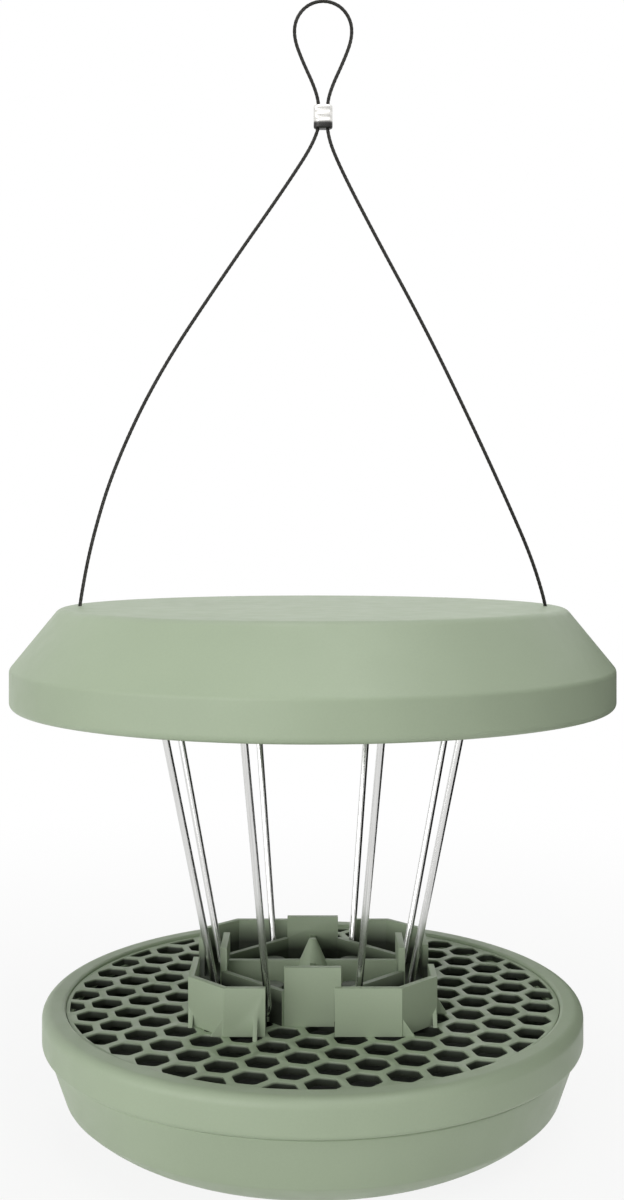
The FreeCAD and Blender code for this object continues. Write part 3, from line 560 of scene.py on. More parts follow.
def make_drawn_streaks():
    """Group for worked metal: fine streaks along the UV map's first way, in colour, gloss and height."""
    streaks_along, streaks_across = 60.0, 5200.0
    tree, start, end = new_group("drawn_streaks", {"Contrast": 0.2, "Roughness": 0.25, "Gloss Spread": 0.08})
    inputs = {"Vector": start["Vector"], "Scale": (streaks_along, streaks_across, 1.0)}
    stretched = place_node(tree, "ShaderNodeMapping", inputs).outputs["Vector"]
    streak = noise(tree, stretched, scale=1.0, detail=3.0, roughness=0.6)
    colour = shaded_colour(tree, start["Colour"], spread_about(tree, streak, 1.0, start["Contrast"]))
    falling = arithmetic(tree, "MULTIPLY", start["Gloss Spread"], -1.0)
    gloss = spread_about(tree, streak, start["Roughness"], falling)
    feed(tree, end, {"Colour": colour, "Roughness": gloss, "Height": streak})
    return tree


def shared_group(name, maker):
    """The node group of that name, made the first time it is asked for."""
    return bpy.data.node_groups.get(name) or maker()


def new_material(name):
    """A material with its node tree and its Principled shader."""
    material = bpy.data.materials.new(name)
    material.use_nodes = True
    return material, material.node_tree, material.node_tree.nodes["Principled BSDF"]


def matt_material(name, colour):
    """A plain matt material without gloss, with its node tree and its shader."""
    material, tree, shader = new_material(name)
    feed(tree, shader, {"Base Color": (*colour, 1.0), "Roughness": 0.9, "Specular IOR Level": 0.0})
    return material, tree, shader


def add_bump(tree, shader, height, distance, strength):
    """Feeds a height into the shader's normal."""
    inputs = {"Height": height, "Distance": distance, "Strength": strength}
    feed(tree, shader, {"Normal": place_node(tree, "ShaderNodeBump", inputs).outputs["Normal"]})


def darkened(tree, tone, mark, full, left):
    """Painted shade: a colour that falls to a share of itself as a mesh attribute grows from nothing to a
    full value.
    """
    marked = place_node(tree, "ShaderNodeAttribute", attribute_name=mark).outputs["Fac"]
    inputs = {"Value": marked, "From Max": full, "To Min": 1.0, "To Max": left}
    return shaded_colour(tree, tone, place_node(tree, "ShaderNodeMapRange", inputs).outputs["Result"])


def sage_plastic(hollow=False):
    """Matt sage green moulded plastic; the second kind has painted shade, darker where its shade attribute is
    high.
    """
    name = "hollow_sage_plastic" if hollow else "sage_plastic"
    if name in bpy.data.materials:
        return bpy.data.materials[name]
    finish = bpy.context.scene.feeder_finish
    material, tree, shader = new_material(name)
    inputs = {
        "Vector": place_node(tree, "ShaderNodeTexCoord").outputs["Object"],
        "Colour": (*finish.sage, 1.0),
        "Drift": 0.03,
        "Grain Scale": 1700.0,
        "Roughness": 0.46,
        "Gloss Spread": 0.05,
    }
    group = shared_group("moulded_grain", make_moulded_grain)
    grain = place_node(tree, "ShaderNodeGroup", inputs, node_tree=group).outputs
    tone = grain["Colour"]
    # Painted shade from the mesh's attribute: the colour falls towards the set share where it is high.
    if hollow:
        tone = darkened(tree, tone, "hollow", full=FULL_SHADE_MARK, left=finish.hollow)
    feed(tree, shader, {"Base Color": tone, "Roughness": grain["Roughness"], "Specular IOR Level": 0.42})
    add_bump(tree, shader, grain["Height"], distance=0.04 * MM, strength=0.35)
    return material


def streaked_metal(name, colour, contrast, roughness, spread, depth, mark=None, mark_dark=0.3, edge=1.0):
    """Worked metal with streaks along the piece's UV map, and painted shade darkening it where a point
    attribute is high.

    depth is the streaks' height, and edge is how bright the metal mirrors at a flat angle.
    """
    if name in bpy.data.materials:
        return bpy.data.materials[name]
    material, tree, shader = new_material(name)
    inputs = {
        "Vector": place_node(tree, "ShaderNodeUVMap", uv_map="surface").outputs["UV"],
        "Colour": (*colour, 1.0),
        "Contrast": contrast,
        "Roughness": roughness,
        "Gloss Spread": spread,
    }
    group = shared_group("drawn_streaks", make_drawn_streaks)
    streaks = place_node(tree, "ShaderNodeGroup", inputs, node_tree=group).outputs
    tone = streaks["Colour"]
    if mark:
        tone = darkened(tree, tone, mark, full=1.0, left=mark_dark)
    feed(tree, shader, {"Base Color": tone, "Roughness": streaks["Roughness"], "Metallic": 1.0})
    feed(tree, shader, {"Specular Tint": (edge, edge, edge, 1.0)})
    add_bump(tree, shader, streaks["Height"], distance=depth, strength=0.4)
    return material


def wire_steel():
    """Bright drawn steel wire."""
    colour = bpy.context.scene.feeder_finish.wire
    return streaked_metal("drawn_wire", colour, contrast=0.16, roughness=0.2, spread=0.06, depth=0.02 * MM)


def cable_steel():
    """Dark steel strands, with shade painted darker where they lie against each other."""
    return streaked_metal(
        "wire_rope", bpy.context.scene.feeder_finish.cable, contrast=0.2, roughness=0.42, spread=0.08,
        depth=0.01 * MM, mark="crevice", mark_dark=0.25, edge=0.15,
    )


def crimp_metal():
    """Pale pressed metal, with painted shade in the pressed marks and, on the loop's sleeve, a dark band of
    painted shade round its foot.
    """
    return streaked_metal(
        "pressed_sleeve", bpy.context.scene.feeder_finish.crimp, contrast=0.08, roughness=0.34, spread=0.08,
        depth=0.02 * MM, mark="pressed", mark_dark=0.05,
    )


def screw_steel():
    """Zinc-plated steel, with painted shade in the cross recess."""
    return streaked_metal(
        "plated_screw", bpy.context.scene.feeder_finish.screw, contrast=0.1, roughness=0.3, spread=0.08,
        depth=0.01 * MM, mark="recess", mark_dark=0.25,
    )


class FEEDER_OT_stage(Operator):
    """Camera, lamps, surroundings, a pale floor and a dark card for the metal to mirror"""

    bl_idname = "feeder.stage"
    bl_label = "Stage"
    LAMPS = {
        "side": (-1.4, -0.9, 0.25),
        "front": (-0.7, -1.5, 0.5),
        "top": (0.45, -0.9, 1.5),
        "over": (0.0, 0.1, 1.8),
        "back": (0.3, 1.5, 0.4),
    }
    UNMIRRORED = ("back_lamp",)
    FRAME_HEIGHT = 1200
    HORIZON_OVER_MIDDLE = 65
    AXIS_RIGHT_OF_MIDDLE = 0.7
    FLOOR_RADIUS = 4.0
    FLOOR_RINGS = 9
    FLOOR_SPOKES = 64
    FLOOR_FADE = (0.1, 0.55)
    FLOOR_WHITE_NEAR = 0.88
    FLOOR_COVERED = 0.99
    CARD_ENDS = ((0.21, -0.18), (0.13, 0.29))
    CARD_HEIGHT = 0.2

    def execute(self, context):
        stage = context.scene.feeder_stage
        context.scene.view_settings.view_transform = "Standard"
        self.add_camera(context, stage)
        for name, place in self.LAMPS.items():
            self.add_lamp(f"{name}_lamp", place, stage.lamp_size, getattr(stage, name))
        self.light_surroundings(context, stage)
        self.add_floor(context, stage)
        self.add_card(stage)
        return {"FINISHED"}

    def add_camera(self, context, stage):
        """A level camera in front, whose view is moved to the photograph's frame of 624 by 1200."""
        lens = bpy.data.cameras.new("photo_camera")
        lens.sensor_fit = "VERTICAL"
        lens.sensor_height = 36.0
        lens.lens = stage.lens
        lens.shift_x = -self.AXIS_RIGHT_OF_MIDDLE / self.FRAME_HEIGHT
        lens.shift_y = -self.HORIZON_OVER_MIDDLE / self.FRAME_HEIGHT
        lens.clip_start = 0.01
        camera = new_object("photo_camera", lens)
        camera.location = (0, -stage.distance, stage.height)
        camera.rotation_euler = (QUARTER, 0, 0)
        context.scene.camera = camera

    def add_lamp(self, name, place, size, watts):
        """A square soft lamp that faces the feeder's middle, and shows in reflections unless told not to."""
        light = bpy.data.lights.new(name, "AREA")
        light.size = size
        light.energy = watts
        lamp = new_object(name, light)
        middle = (CAD_LOW + CAD_HIGH) / 2
        lamp.location = place
        lamp.rotation_euler = (middle - lamp.location).to_track_quat("-Z", "Y").to_euler()
        lamp.visible_glossy = name not in self.UNMIRRORED

    def light_surroundings(self, context, stage):
        """White wherever the camera or a reflection looks, and a plain soft light otherwise."""
        world = bpy.data.worlds.new("surroundings")
        world.use_nodes = True
        tree = world.node_tree
        tree.nodes.clear()
        soft, white = (
            place_node(tree, "ShaderNodeBackground", {"Color": (1.0, 1.0, 1.0, 1.0), "Strength": strength})
            for strength in (stage.ambient, 1.0)
        )
        mixed = mixed_shader(tree, self.seen_directly(tree), soft.outputs[0], white.outputs[0])
        place_node(tree, "ShaderNodeOutputWorld", {"Surface": mixed})
        context.scene.world = world

    def seen_directly(self, tree):
        """One where a ray comes from the camera, a reflection or a clear material."""
        path = place_node(tree, "ShaderNodeLightPath")
        rays = arithmetic(tree, "MAXIMUM", path.outputs["Is Camera Ray"], path.outputs["Is Glossy Ray"])
        return arithmetic(tree, "MAXIMUM", rays, path.outputs["Is Transmission Ray"])

    def add_floor(self, context, stage):
        """A round floor at the base's height, of rings and spokes: x = r cos a, y = r sin a.

        It fades to white outside the base, and is clear from below. Under the base it lets light through, so
        that the base is not black when it is seen from below.
        """
        ring = np.linspace(0, self.FLOOR_RADIUS, self.FLOOR_RINGS)[:, None]
        angle = np.linspace(0, TURN, self.FLOOR_SPOKES, endpoint=False)[None]
        grid = np.stack([ring * np.cos(angle), ring * np.sin(angle), 0 * ring * angle], axis=2)
        mesh = mesh_of_grids("floor", grid[None], False, True)
        if mesh.polygons[0].normal.z < 0:
            mesh.flip_normals()
        material, tree, shader = matt_material("pale_floor", stage.floor)
        place = place_node(tree, "ShaderNodeTexCoord").outputs["Object"]
        away = place_node(tree, "ShaderNodeVectorMath", {0: place}, operation="LENGTH").outputs["Value"]
        near, far = self.FLOOR_FADE
        inputs = {"Value": away, "From Min": near, "From Max": far, "To Min": self.FLOOR_WHITE_NEAR}
        fade = place_node(tree, "ShaderNodeMapRange", inputs, interpolation_type="SMOOTHSTEP")
        covered = self.FLOOR_COVERED * context.scene.feeder_tray.base
        uncovered = arithmetic(tree, "GREATER_THAN", away, covered)
        faded = arithmetic(tree, "MULTIPLY", fade.outputs["Result"], uncovered)
        seen = self.seen_directly(tree)
        white = place_node(tree, "ShaderNodeEmission").outputs[0]
        upper = mixed_shader(tree, arithmetic(tree, "MULTIPLY", faded, seen), shader.outputs[0], white)
        below = place_node(tree, "ShaderNodeNewGeometry").outputs["Backfacing"]
        under_base = arithmetic(tree, "SUBTRACT", 1.0, arithmetic(tree, "MAXIMUM", uncovered, seen))
        open_floor = arithmetic(tree, "MAXIMUM", below, under_base)
        clear = place_node(tree, "ShaderNodeBsdfTransparent").outputs[0]
        surface = mixed_shader(tree, open_floor, upper, clear)
        feed(tree, tree.nodes["Material Output"], {"Surface": surface})
        mesh.materials.append(material)
        floor = new_object("floor", mesh)

    def add_card(self, stage):
        """A dark upright card that only reflections see: first end + s (second end - first end) + z up."""
        along, up = np.meshgrid(np.linspace(0, 1, 5), np.linspace(0, self.CARD_HEIGHT, 5), indexing="ij")
        first, second = np.array(self.CARD_ENDS)
        flat = first + along[..., None] * (second - first)
        mesh = mesh_of_grids("side_card", np.concatenate([flat, up[..., None]], axis=2)[None], False, False)
        mesh.materials.append(matt_material("dark_card", stage.card)[0])
        card = new_object("side_card", mesh)
        card.visible_camera = card.visible_diffuse = card.visible_shadow = False


class FEEDER_OT_crimps(Operator):
    """The oval ferrule below the loop and the two stops on the cable's ends"""

    bl_idname = "feeder.crimps"
    bl_label = "Crimps"
    SLEEVE_MARKS = (0.46, 0.78)
    SLEEVE_MARK_HALF = 0.085
    # Where the dark band of painted shade round the sleeve's foot ends and how softly, and the share of
    # painted shade in its pressed marks.
    SLEEVE_FOOT = 0.285
    SLEEVE_FOOT_SOFT = 0.02
    SLEEVE_SHADE = 0.25
    SLEEVE_SIDES = 56
    SLEEVE_END_RINGS = 7
    SLEEVE_BODY_RINGS = 49
    STOP_MARKS = (0.32, 0.68)
    STOP_MARK_HALF = 0.1
    STOP_ROUND = 0.5 * MM
    STOP_BORE_ROUND = 0.1 * MM
    STOP_END = 0.9 * MM
    # Share of painted shade in the stops' pressed marks.
    STOP_SHADE = 0.3
    STOP_SIDES = 40
    STOP_RINGS = 33

    def execute(self, context):
        hanger = context.scene.feeder_hanger
        self.make_ferrule(hanger)
        for side, sign in (("left", -1), ("right", 1)):
            self.make_stop(side, sign, hanger)
        return {"FINISHED"}

    def pressed_marks(self, share_up, places, half):
        """Marks along the height: e to the power of minus the fourth power of distance over half a mark."""
        return sum(np.exp(-(((share_up - place) / half) ** 4)) for place in places)

    def make_ferrule(self, hanger):
        """A sleeve pressed over both runs of the cable.

        Its section is two half circles joined by straights: x = half pitch on that side + r cos a and
        y = r sin a. Carried upwards, r shrinks round the ends, and two marks press the section's y inwards.
        """
        low, high = np.array(FERRULE_LOW), np.array(FERRULE_HIGH)
        middle = (low + high) / 2
        half = hanger.ferrule_pitch / 2
        radius = (high[1] - low[1]) / 2
        tall = high[2] - low[2]
        edge = hanger.ferrule_round
        bend = np.linspace(0, QUARTER, self.SLEEVE_END_RINGS)
        body = np.linspace(edge, tall - edge, self.SLEEVE_BODY_RINGS)[1:-1]
        end_rise, end_inset = edge * (1 - np.cos(bend)), edge * (1 - np.sin(bend))
        rise = np.concatenate([[0], end_rise, body, tall - end_rise[::-1], [tall]])
        inset = np.concatenate([[radius], end_inset, 0 * body, end_inset[::-1], [radius]])
        angle = (np.arange(self.SLEEVE_SIDES) + 0.5) * TURN / self.SLEEVE_SIDES
        share_up = rise / tall
        marks = self.pressed_marks(share_up, self.SLEEVE_MARKS, self.SLEEVE_MARK_HALF)
        # A dark band of painted shade round the foot.
        foot = 1 / (1 + np.exp((share_up - self.SLEEVE_FOOT) / self.SLEEVE_FOOT_SOFT))
        reach = (radius - inset)[:, None]
        x = half * np.sign(np.cos(angle))[None] + reach * np.cos(angle)[None]
        y = reach * np.sin(angle)[None]
        pressed = marks[:, None] * np.abs(np.sin(angle))[None]
        y = y * (1 - pressed * hanger.press / radius)
        z = np.broadcast_to(rise[:, None], x.shape)
        grid = np.stack([middle[0] + x, middle[1] + y, low[2] + z], axis=2)
        # Painted shade, kept in the attribute pressed: the foot's band in full and a share in the pressed
        # marks.
        shade = np.clip(foot[:, None] + self.SLEEVE_SHADE * pressed, 0, 1)
        row_length, column_length = tall / len(rise), TURN * radius / len(angle)
        mesh = mesh_of_grids(
            "loop_sleeve", grid[None], False, True, row_length, column_length, {"pressed": shade}
        )
        piece = new_piece("loop_sleeve", mesh, crimp_metal())
        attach(piece, "hanger")
        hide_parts("loop_ferrule")

    def make_stop(self, side, sign, hanger):
        """A pressed sleeve with a bore: a closed outline, narrowed by two marks, turned round the tail."""
        outer = (STOP_HIGH.x - STOP_LOW.x) / 2
        bore = hanger.diameter / 2
        tall = STOP_HIGH.z - STOP_LOW.z
        corners = [(bore, 0), (outer, 0), (outer, tall), (bore, tall)]
        radii = [self.STOP_BORE_ROUND, self.STOP_ROUND, self.STOP_ROUND, self.STOP_BORE_ROUND]
        outline = rounded_outline(corners, radii, closed=True)
        rise = np.linspace(self.STOP_END, tall - self.STOP_END, self.STOP_RINGS)
        side_wall = np.stack([np.full_like(rise, outer), rise], axis=1)
        outer_end = np.argmax(outline[:, 1] > tall / 2)
        outline = np.concatenate([outline[:outer_end], side_wall, outline[outer_end:]])
        share_up = outline[:, 1] / tall
        marks = self.pressed_marks(share_up, self.STOP_MARKS, self.STOP_MARK_HALF)
        on_side = np.clip((outline[:, 0] - bore) / (outer - bore), 0, 1) ** 4
        outline[:, 0] -= marks * on_side * hanger.press
        grid = turned_grid(outline, self.STOP_SIDES) + np.array([sign * (STOP_LOW.x + outer), 0, STOP_LOW.z])
        # Painted shade in the pressed marks.
        shade = np.broadcast_to(self.STOP_SHADE * marks * on_side, grid.shape[:2])
        row_length, column_length = TURN * outer / self.STOP_SIDES, tall / self.STOP_SIDES
        mesh = mesh_of_grids(
            f"{side}_stop_sleeve", grid[None], True, True, row_length, column_length, {"pressed": shade}
        )
        piece = new_piece(f"{side}_stop_sleeve", mesh, crimp_metal())
        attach(piece, "cage")
        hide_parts(f"{side}_end_stop")


class FEEDER_OT_cable(Operator):
    """The stranded hanging cable with its tails through the roof"""

    bl_idname = "feeder.cable"
    bl_label = "Hanging cable"
    BEND_BELOW = 1.6 * MM
    BEND_ABOVE = 4.2 * MM
    TAIL_HEIGHTS = (-5.0, -0.3)
    STRAND_SIDES = 6
    # How the painted shade between the strands follows the way a point faces.
    STRAND_SHADE_MIDDLE = 0.55
    STRAND_SHADE_SWING = 0.75

    def execute(self, context):
        hanger = context.scene.feeder_hanger
        path, line_length = self.route_points(context, hanger.spacing)
        grids, crevice = self.strands(path, line_length, hanger)
        column_length = hanger.diameter / 2 / self.STRAND_SIDES
        mesh = mesh_of_grids(
            "stranded_cable", grids, False, True, hanger.spacing, column_length, {"crevice": crevice}
        )
        piece = new_piece("stranded_cable", mesh, cable_steel())
        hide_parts("hanger_cable", "left_cable_tail", "right_cable_tail")
        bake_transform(piece)
        return {"FINISHED"}

    def route_points(self, context, spacing):
        """Points read from the route's smooth spline, spread evenly along it, and the spline's length."""
        tail = (TAIL_LOW.z / MM - CABLE_PIVOT, *self.TAIL_HEIGHTS)
        left = [(CABLE_ROUTE[0][0], height) for height in tail]
        right = [(CABLE_ROUTE[-1][0], height) for height in tail[::-1]]
        route = np.array(left + list(CABLE_ROUTE[1:-1]) + right) * MM
        x, z = route[:, 0], route[:, 1] + CABLE_PIVOT * MM
        controls = np.stack([x, 0 * x, z, 1 + 0 * x], axis=1)
        line = bpy.data.curves.new("cable_route", "CURVE")
        line.dimensions = "3D"
        line.resolution_u = 40
        spline = line.splines.new("NURBS")
        spline.points.add(len(controls) - 1)
        spline.points.foreach_set("co", controls.ravel())
        spline.order_u = 3
        spline.use_endpoint_u = True
        holder = new_object("cable_route", line)
        context.view_layer.update()
        traced = bpy.data.meshes.new_from_object(holder)
        points = np.empty(len(traced.vertices) * 3)
        traced.vertices.foreach_get("co", points)
        points = points.reshape(-1, 3)
        bpy.data.objects.remove(holder)
        bpy.data.curves.remove(line)
        bpy.data.meshes.remove(traced)
        line_length = distances_along(points)[-1]
        even = np.linspace(0, line_length, round(line_length / spacing) + 1)
        return points_along(points, even), line_length

    def strands(self, path, line_length, hanger):
        """A core and the strands wound round it, and the painted shade of each point between them.

        A strand's centre is the path point + R (cos p across + sin p level), where p grows by one turn for
        each lay length and R is a third of the diameter. Its section is a circle of a sixth of the diameter.
        A point gets the more painted shade the more it faces the core.
        """
        forward = directions(path)
        level = np.broadcast_to([0.0, 1.0, 0.0], forward.shape)
        across = np.cross(level, forward)
        along = np.linspace(0, line_length, len(path))
        phase = TURN * (along[None] / hanger.lay + np.arange(hanger.strands)[:, None] / hanger.strands)
        wind = hanger.diameter / 3
        centres = path[None] + wind * (
            np.cos(phase)[..., None] * across[None] + np.sin(phase)[..., None] * level[None]
        )
        centres = np.concatenate([path[None], centres])
        ends = np.concatenate([[0], np.arange(len(path)), [len(path) - 1]])
        thickness = np.full(len(ends), hanger.diameter / 6)
        thickness[[0, -1]] = 0
        ring = np.linspace(0, TURN, self.STRAND_SIDES, endpoint=False)[None, :, None]
        circle = np.cos(ring) * across[ends][:, None] + np.sin(ring) * level[ends][:, None]
        grids = centres[:, ends][:, :, None] + (thickness[:, None, None] * circle)[None]
        facing = np.cos(ring[None, ..., 0] - phase[:, ends][..., None])
        # Painted shade: full on the core, and on a strand the more it faces the core.
        core = np.ones((1, len(ends), self.STRAND_SIDES))
        outer = np.clip(self.STRAND_SHADE_MIDDLE - self.STRAND_SHADE_SWING * facing, 0, 1)
        return grids, np.concatenate([core, outer])


class FEEDER_OT_roof(Operator):
    """The turned roof with its screw bosses and cable holes"""

    bl_idname = "feeder.roof"
    bl_label = "Roof"
    SCREW_HOLE = 1.43 * MM
    SCREW_HOLE_DEPTH = 5 * MM
    INNER_EDGE_ROUND = 0.5 * MM

    def execute(self, context):
        roof = context.scene.feeder_roof
        mesh = mesh_of_grids("roof", turned_grid(self.outline(roof), SEGMENTS)[None], True, False)
        under = ROOF_HIGH.z - roof.wall
        boss_low = CARRIER_HIGH.z
        corners = four_corners(roof.boss_place)
        mesh = joined_with(mesh, pegs(corners, roof.boss, boss_low, under + roof.wall / 2), "UNION")
        places = [(-roof.span, 0), (roof.span, 0)]
        holes = pegs(places, roof.hole, under - roof.wall, ROOF_HIGH.z + roof.wall)
        mesh = joined_with(mesh, holes, "DIFFERENCE")
        screw_holes = pegs(corners, self.SCREW_HOLE, boss_low - roof.wall, boss_low + self.SCREW_HOLE_DEPTH)
        mesh = joined_with(mesh, screw_holes, "DIFFERENCE")
        piece = new_piece("roof", mesh, sage_plastic())
        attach(piece, "cage")
        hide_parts("roof_shell")
        return {"FINISHED"}

    def outline(self, roof):
        """Half the roof's section: top, slope and band outside, and the same one wall thickness inside."""
        radius = ROOF_HIGH.x
        low, top = ROOF_LOW.z, ROOF_HIGH.z
        under = top - roof.wall
        slope = math.atan2(top - low - roof.band, radius - roof.plateau)
        top_shift = roof.wall * math.tan(slope / 2)
        side_shift = roof.wall * math.tan((QUARTER - slope) / 2)
        half, inner = 0.5 * roof.plateau, radius - roof.wall
        outside = [(0, top), (half, top), (roof.plateau, top), (radius, low + roof.band), (radius, low)]
        inside = [(inner, low), (inner, low + roof.band - side_shift), (roof.plateau - top_shift, under)]
        inside += [(half, under), (0, under)]
        outside_radii = [0, 0, roof.shoulder, roof.crease, roof.edge]
        inside_radii = [self.INNER_EDGE_ROUND, roof.crease, roof.shoulder - roof.wall, 0, 0]
        return rounded_outline(outside + inside, outside_radii + inside_radii, closed=False, steps=11)


class FEEDER_OT_tray(Operator):
    """The turned crumb bowl and the rim over its edge"""

    bl_idname = "feeder.tray"
    bl_label = "Bowl and rim"
    RIM_EDGE_ROUND = 0.3 * MM

    def execute(self, context):
        tray = context.scene.feeder_tray
        outline = self.bowl_outline(tray)
        grid = turned_grid(outline, SEGMENTS)
        # Painted shade over the whole inside of the bowl.
        hollow = np.broadcast_to(np.arange(len(outline)) > np.argmax(outline[:, 1]), grid.shape[:2])
        mesh = mesh_of_grids("bowl", grid[None], True, False, marks={"hollow": hollow})
        reach = tray.drain_reach
        places = [(reach, 0), (0, reach), (-reach, 0), (0, -reach)]
        mesh = joined_with(mesh, pegs(places, tray.drain, -tray.bowl_wall, 2 * tray.bowl_wall), "DIFFERENCE")
        bowl = new_piece("bowl", mesh, sage_plastic(hollow=True))
        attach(bowl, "bowl")
        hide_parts("crumb_bowl")
        mesh = mesh_of_grids("rim", turned_grid(self.rim_outline(tray), SEGMENTS)[None], True, True)
        rim = new_piece("rim", mesh, sage_plastic())
        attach(rim, "tray")
        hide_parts("tray_rim")
        return {"FINISHED"}

    def bowl_outline(self, tray):
        """Half the bowl's section: base, arc, leaning side, bead and upright edge, and the wall's inside."""
        wall = tray.bowl_wall
        edge, top = tray.edge, BOWL_HIGH.z
        bead, bead_height = BOWL_HIGH.x, RIM_LOW.z - tray.bead_gap
        foot, shoulder = np.array([tray.base, 0.0]), np.array([tray.shoulder, tray.shoulder_height])
        outer, centre = arc_between(foot, shoulder, tray.curve, steps=11)
        inner = centre + (outer[::-1] - centre) * (1 - wall / tray.curve)
        inner[-1, 1] = wall
        upright = np.interp(edge, [tray.shoulder, bead], [tray.shoulder_height, bead_height])
        outside = [(0, 0), (tray.base / 2, 0), *outer, (bead, bead_height), (edge, bead_height), (edge, top)]
        inside = [(edge - wall, top), (edge - wall, upright), *inner, (tray.base / 2, wall), (0, wall)]
        plain = [0] * (len(outer) - 2)
        # Roundings in millimetres, corner by corner.
        outside_radii = [0, 0, 3, *plain, 3, 0.5, 0.3, 0.8]
        inside_radii = [0.8, 2, 2, *plain, 1, 0, 0]
        radii = np.array(outside_radii + inside_radii) * MM
        return rounded_outline(outside + inside, radii, closed=False, steps=9)

    def rim_outline(self, tray):
        """The rim's section: skirt, rounded lip, grid ledge, and the web and slot over the bowl's edge."""
        radius, top = RIM_HIGH.x, RIM_HIGH.z
        skirt_bottom = top - tray.skirt_depth
        lip_inner = radius - tray.lip_width
        ledge_top = GRID_LOW.z
        ledge_bottom = ledge_top - tray.ledge_thickness
        ledge_inner = lip_inner - tray.ledge_width
        web = tray.edge - tray.bowl_wall - tray.web_gap
        skirt_inner = radius - tray.skirt_wall
        corners = [(radius, skirt_bottom), (radius, top), (lip_inner, top), (lip_inner, ledge_top)]
        corners += [(ledge_inner, ledge_top), (ledge_inner, ledge_bottom), (web, ledge_bottom)]
        corners += [(web, BOWL_HIGH.z), (skirt_inner, BOWL_HIGH.z), (skirt_inner, skirt_bottom)]
        soft = self.RIM_EDGE_ROUND
        radii = [tray.skirt_round, tray.lip_round, tray.lip_inner, 0, soft, soft, soft, 0, 0, soft]
        return rounded_outline(corners, radii, closed=True, steps=11)


class FEEDER_OT_grid(Operator):
    """The honeycomb grid with rounded edges, whose cell walls have painted shade towards their feet"""

    bl_idname = "feeder.grid"
    bl_label = "Honeycomb grid"
    UPRIGHT = 0.5

    def execute(self, context):
        width = context.scene.feeder_edges.grid
        plastic = sage_plastic(hollow=True)
        piece = softened_copy("honeycomb_grid", "honeycomb", width, plastic)
        height, normal, _ = face_corners(piece.data)
        # Painted shade on the lower corners of the upright cell walls.
        lower = height < (GRID_LOW.z + GRID_HIGH.z) / 2
        mark_shaded_corners(piece.data, lower & (np.abs(normal[:, 2]) < self.UPRIGHT))
        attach(piece, "tray")
        return {"FINISHED"}


class FEEDER_OT_hub(Operator):
    """The hub that holds the wires' feet, with rounded edges and painted shade low in its pockets"""

    bl_idname = "feeder.hub"
    bl_label = "Wire hub"
    POCKET_LIGHT_HEIGHT = 14 * MM
    POCKET_FALL = 7 * MM
    POCKET_WALL_REACH = (25 * MM, 40 * MM)
    SLANTING = 0.3
    LEVEL = 0.9

    def execute(self, context):
        width = context.scene.feeder_edges.hub
        piece = softened_copy("wire_hub", "hub", width, sage_plastic(hollow=True))
        self.mark_pockets(piece.data)
        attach(piece, "tray")
        return {"FINISHED"}

    def mark_pockets(self, mesh):
        """Marks the faces inside the pockets for painted shade, in line with how low a corner lies.

        A face's reach is its level normal times its middle. The faces inside are those that look at the axis
        or upwards, and the slanting ones whose reach lies between the pockets' inner and outer walls. The
        mark is below nothing near the walls' tops, where no shade is painted.
        """
        height, normal, middle = face_corners(mesh)
        reach = np.sum(normal[:, :2] * middle[:, :2], axis=1)
        near, far = self.POCKET_WALL_REACH
        slanting = np.abs(normal[:, 0] * normal[:, 1]) > self.SLANTING
        inside = (reach < 0) | (slanting & (reach > near) & (reach < far)) | (normal[:, 2] > self.LEVEL)
        depth = (GRID_HIGH.z + self.POCKET_LIGHT_HEIGHT - height) / self.POCKET_FALL
        mark_shaded_corners(mesh, FULL_SHADE_MARK * depth * inside)


class FEEDER_OT_carrier(Operator):
    """The plate under the roof that holds the wires, with rounded edges"""

    bl_idname = "feeder.carrier"
    bl_label = "Wire carrier"

    def execute(self, context):
        width = context.scene.feeder_edges.carrier
        piece = softened_copy("wire_carrier", "carrier_plate", width, sage_plastic())
        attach(piece, "cage")
        return {"FINISHED"}


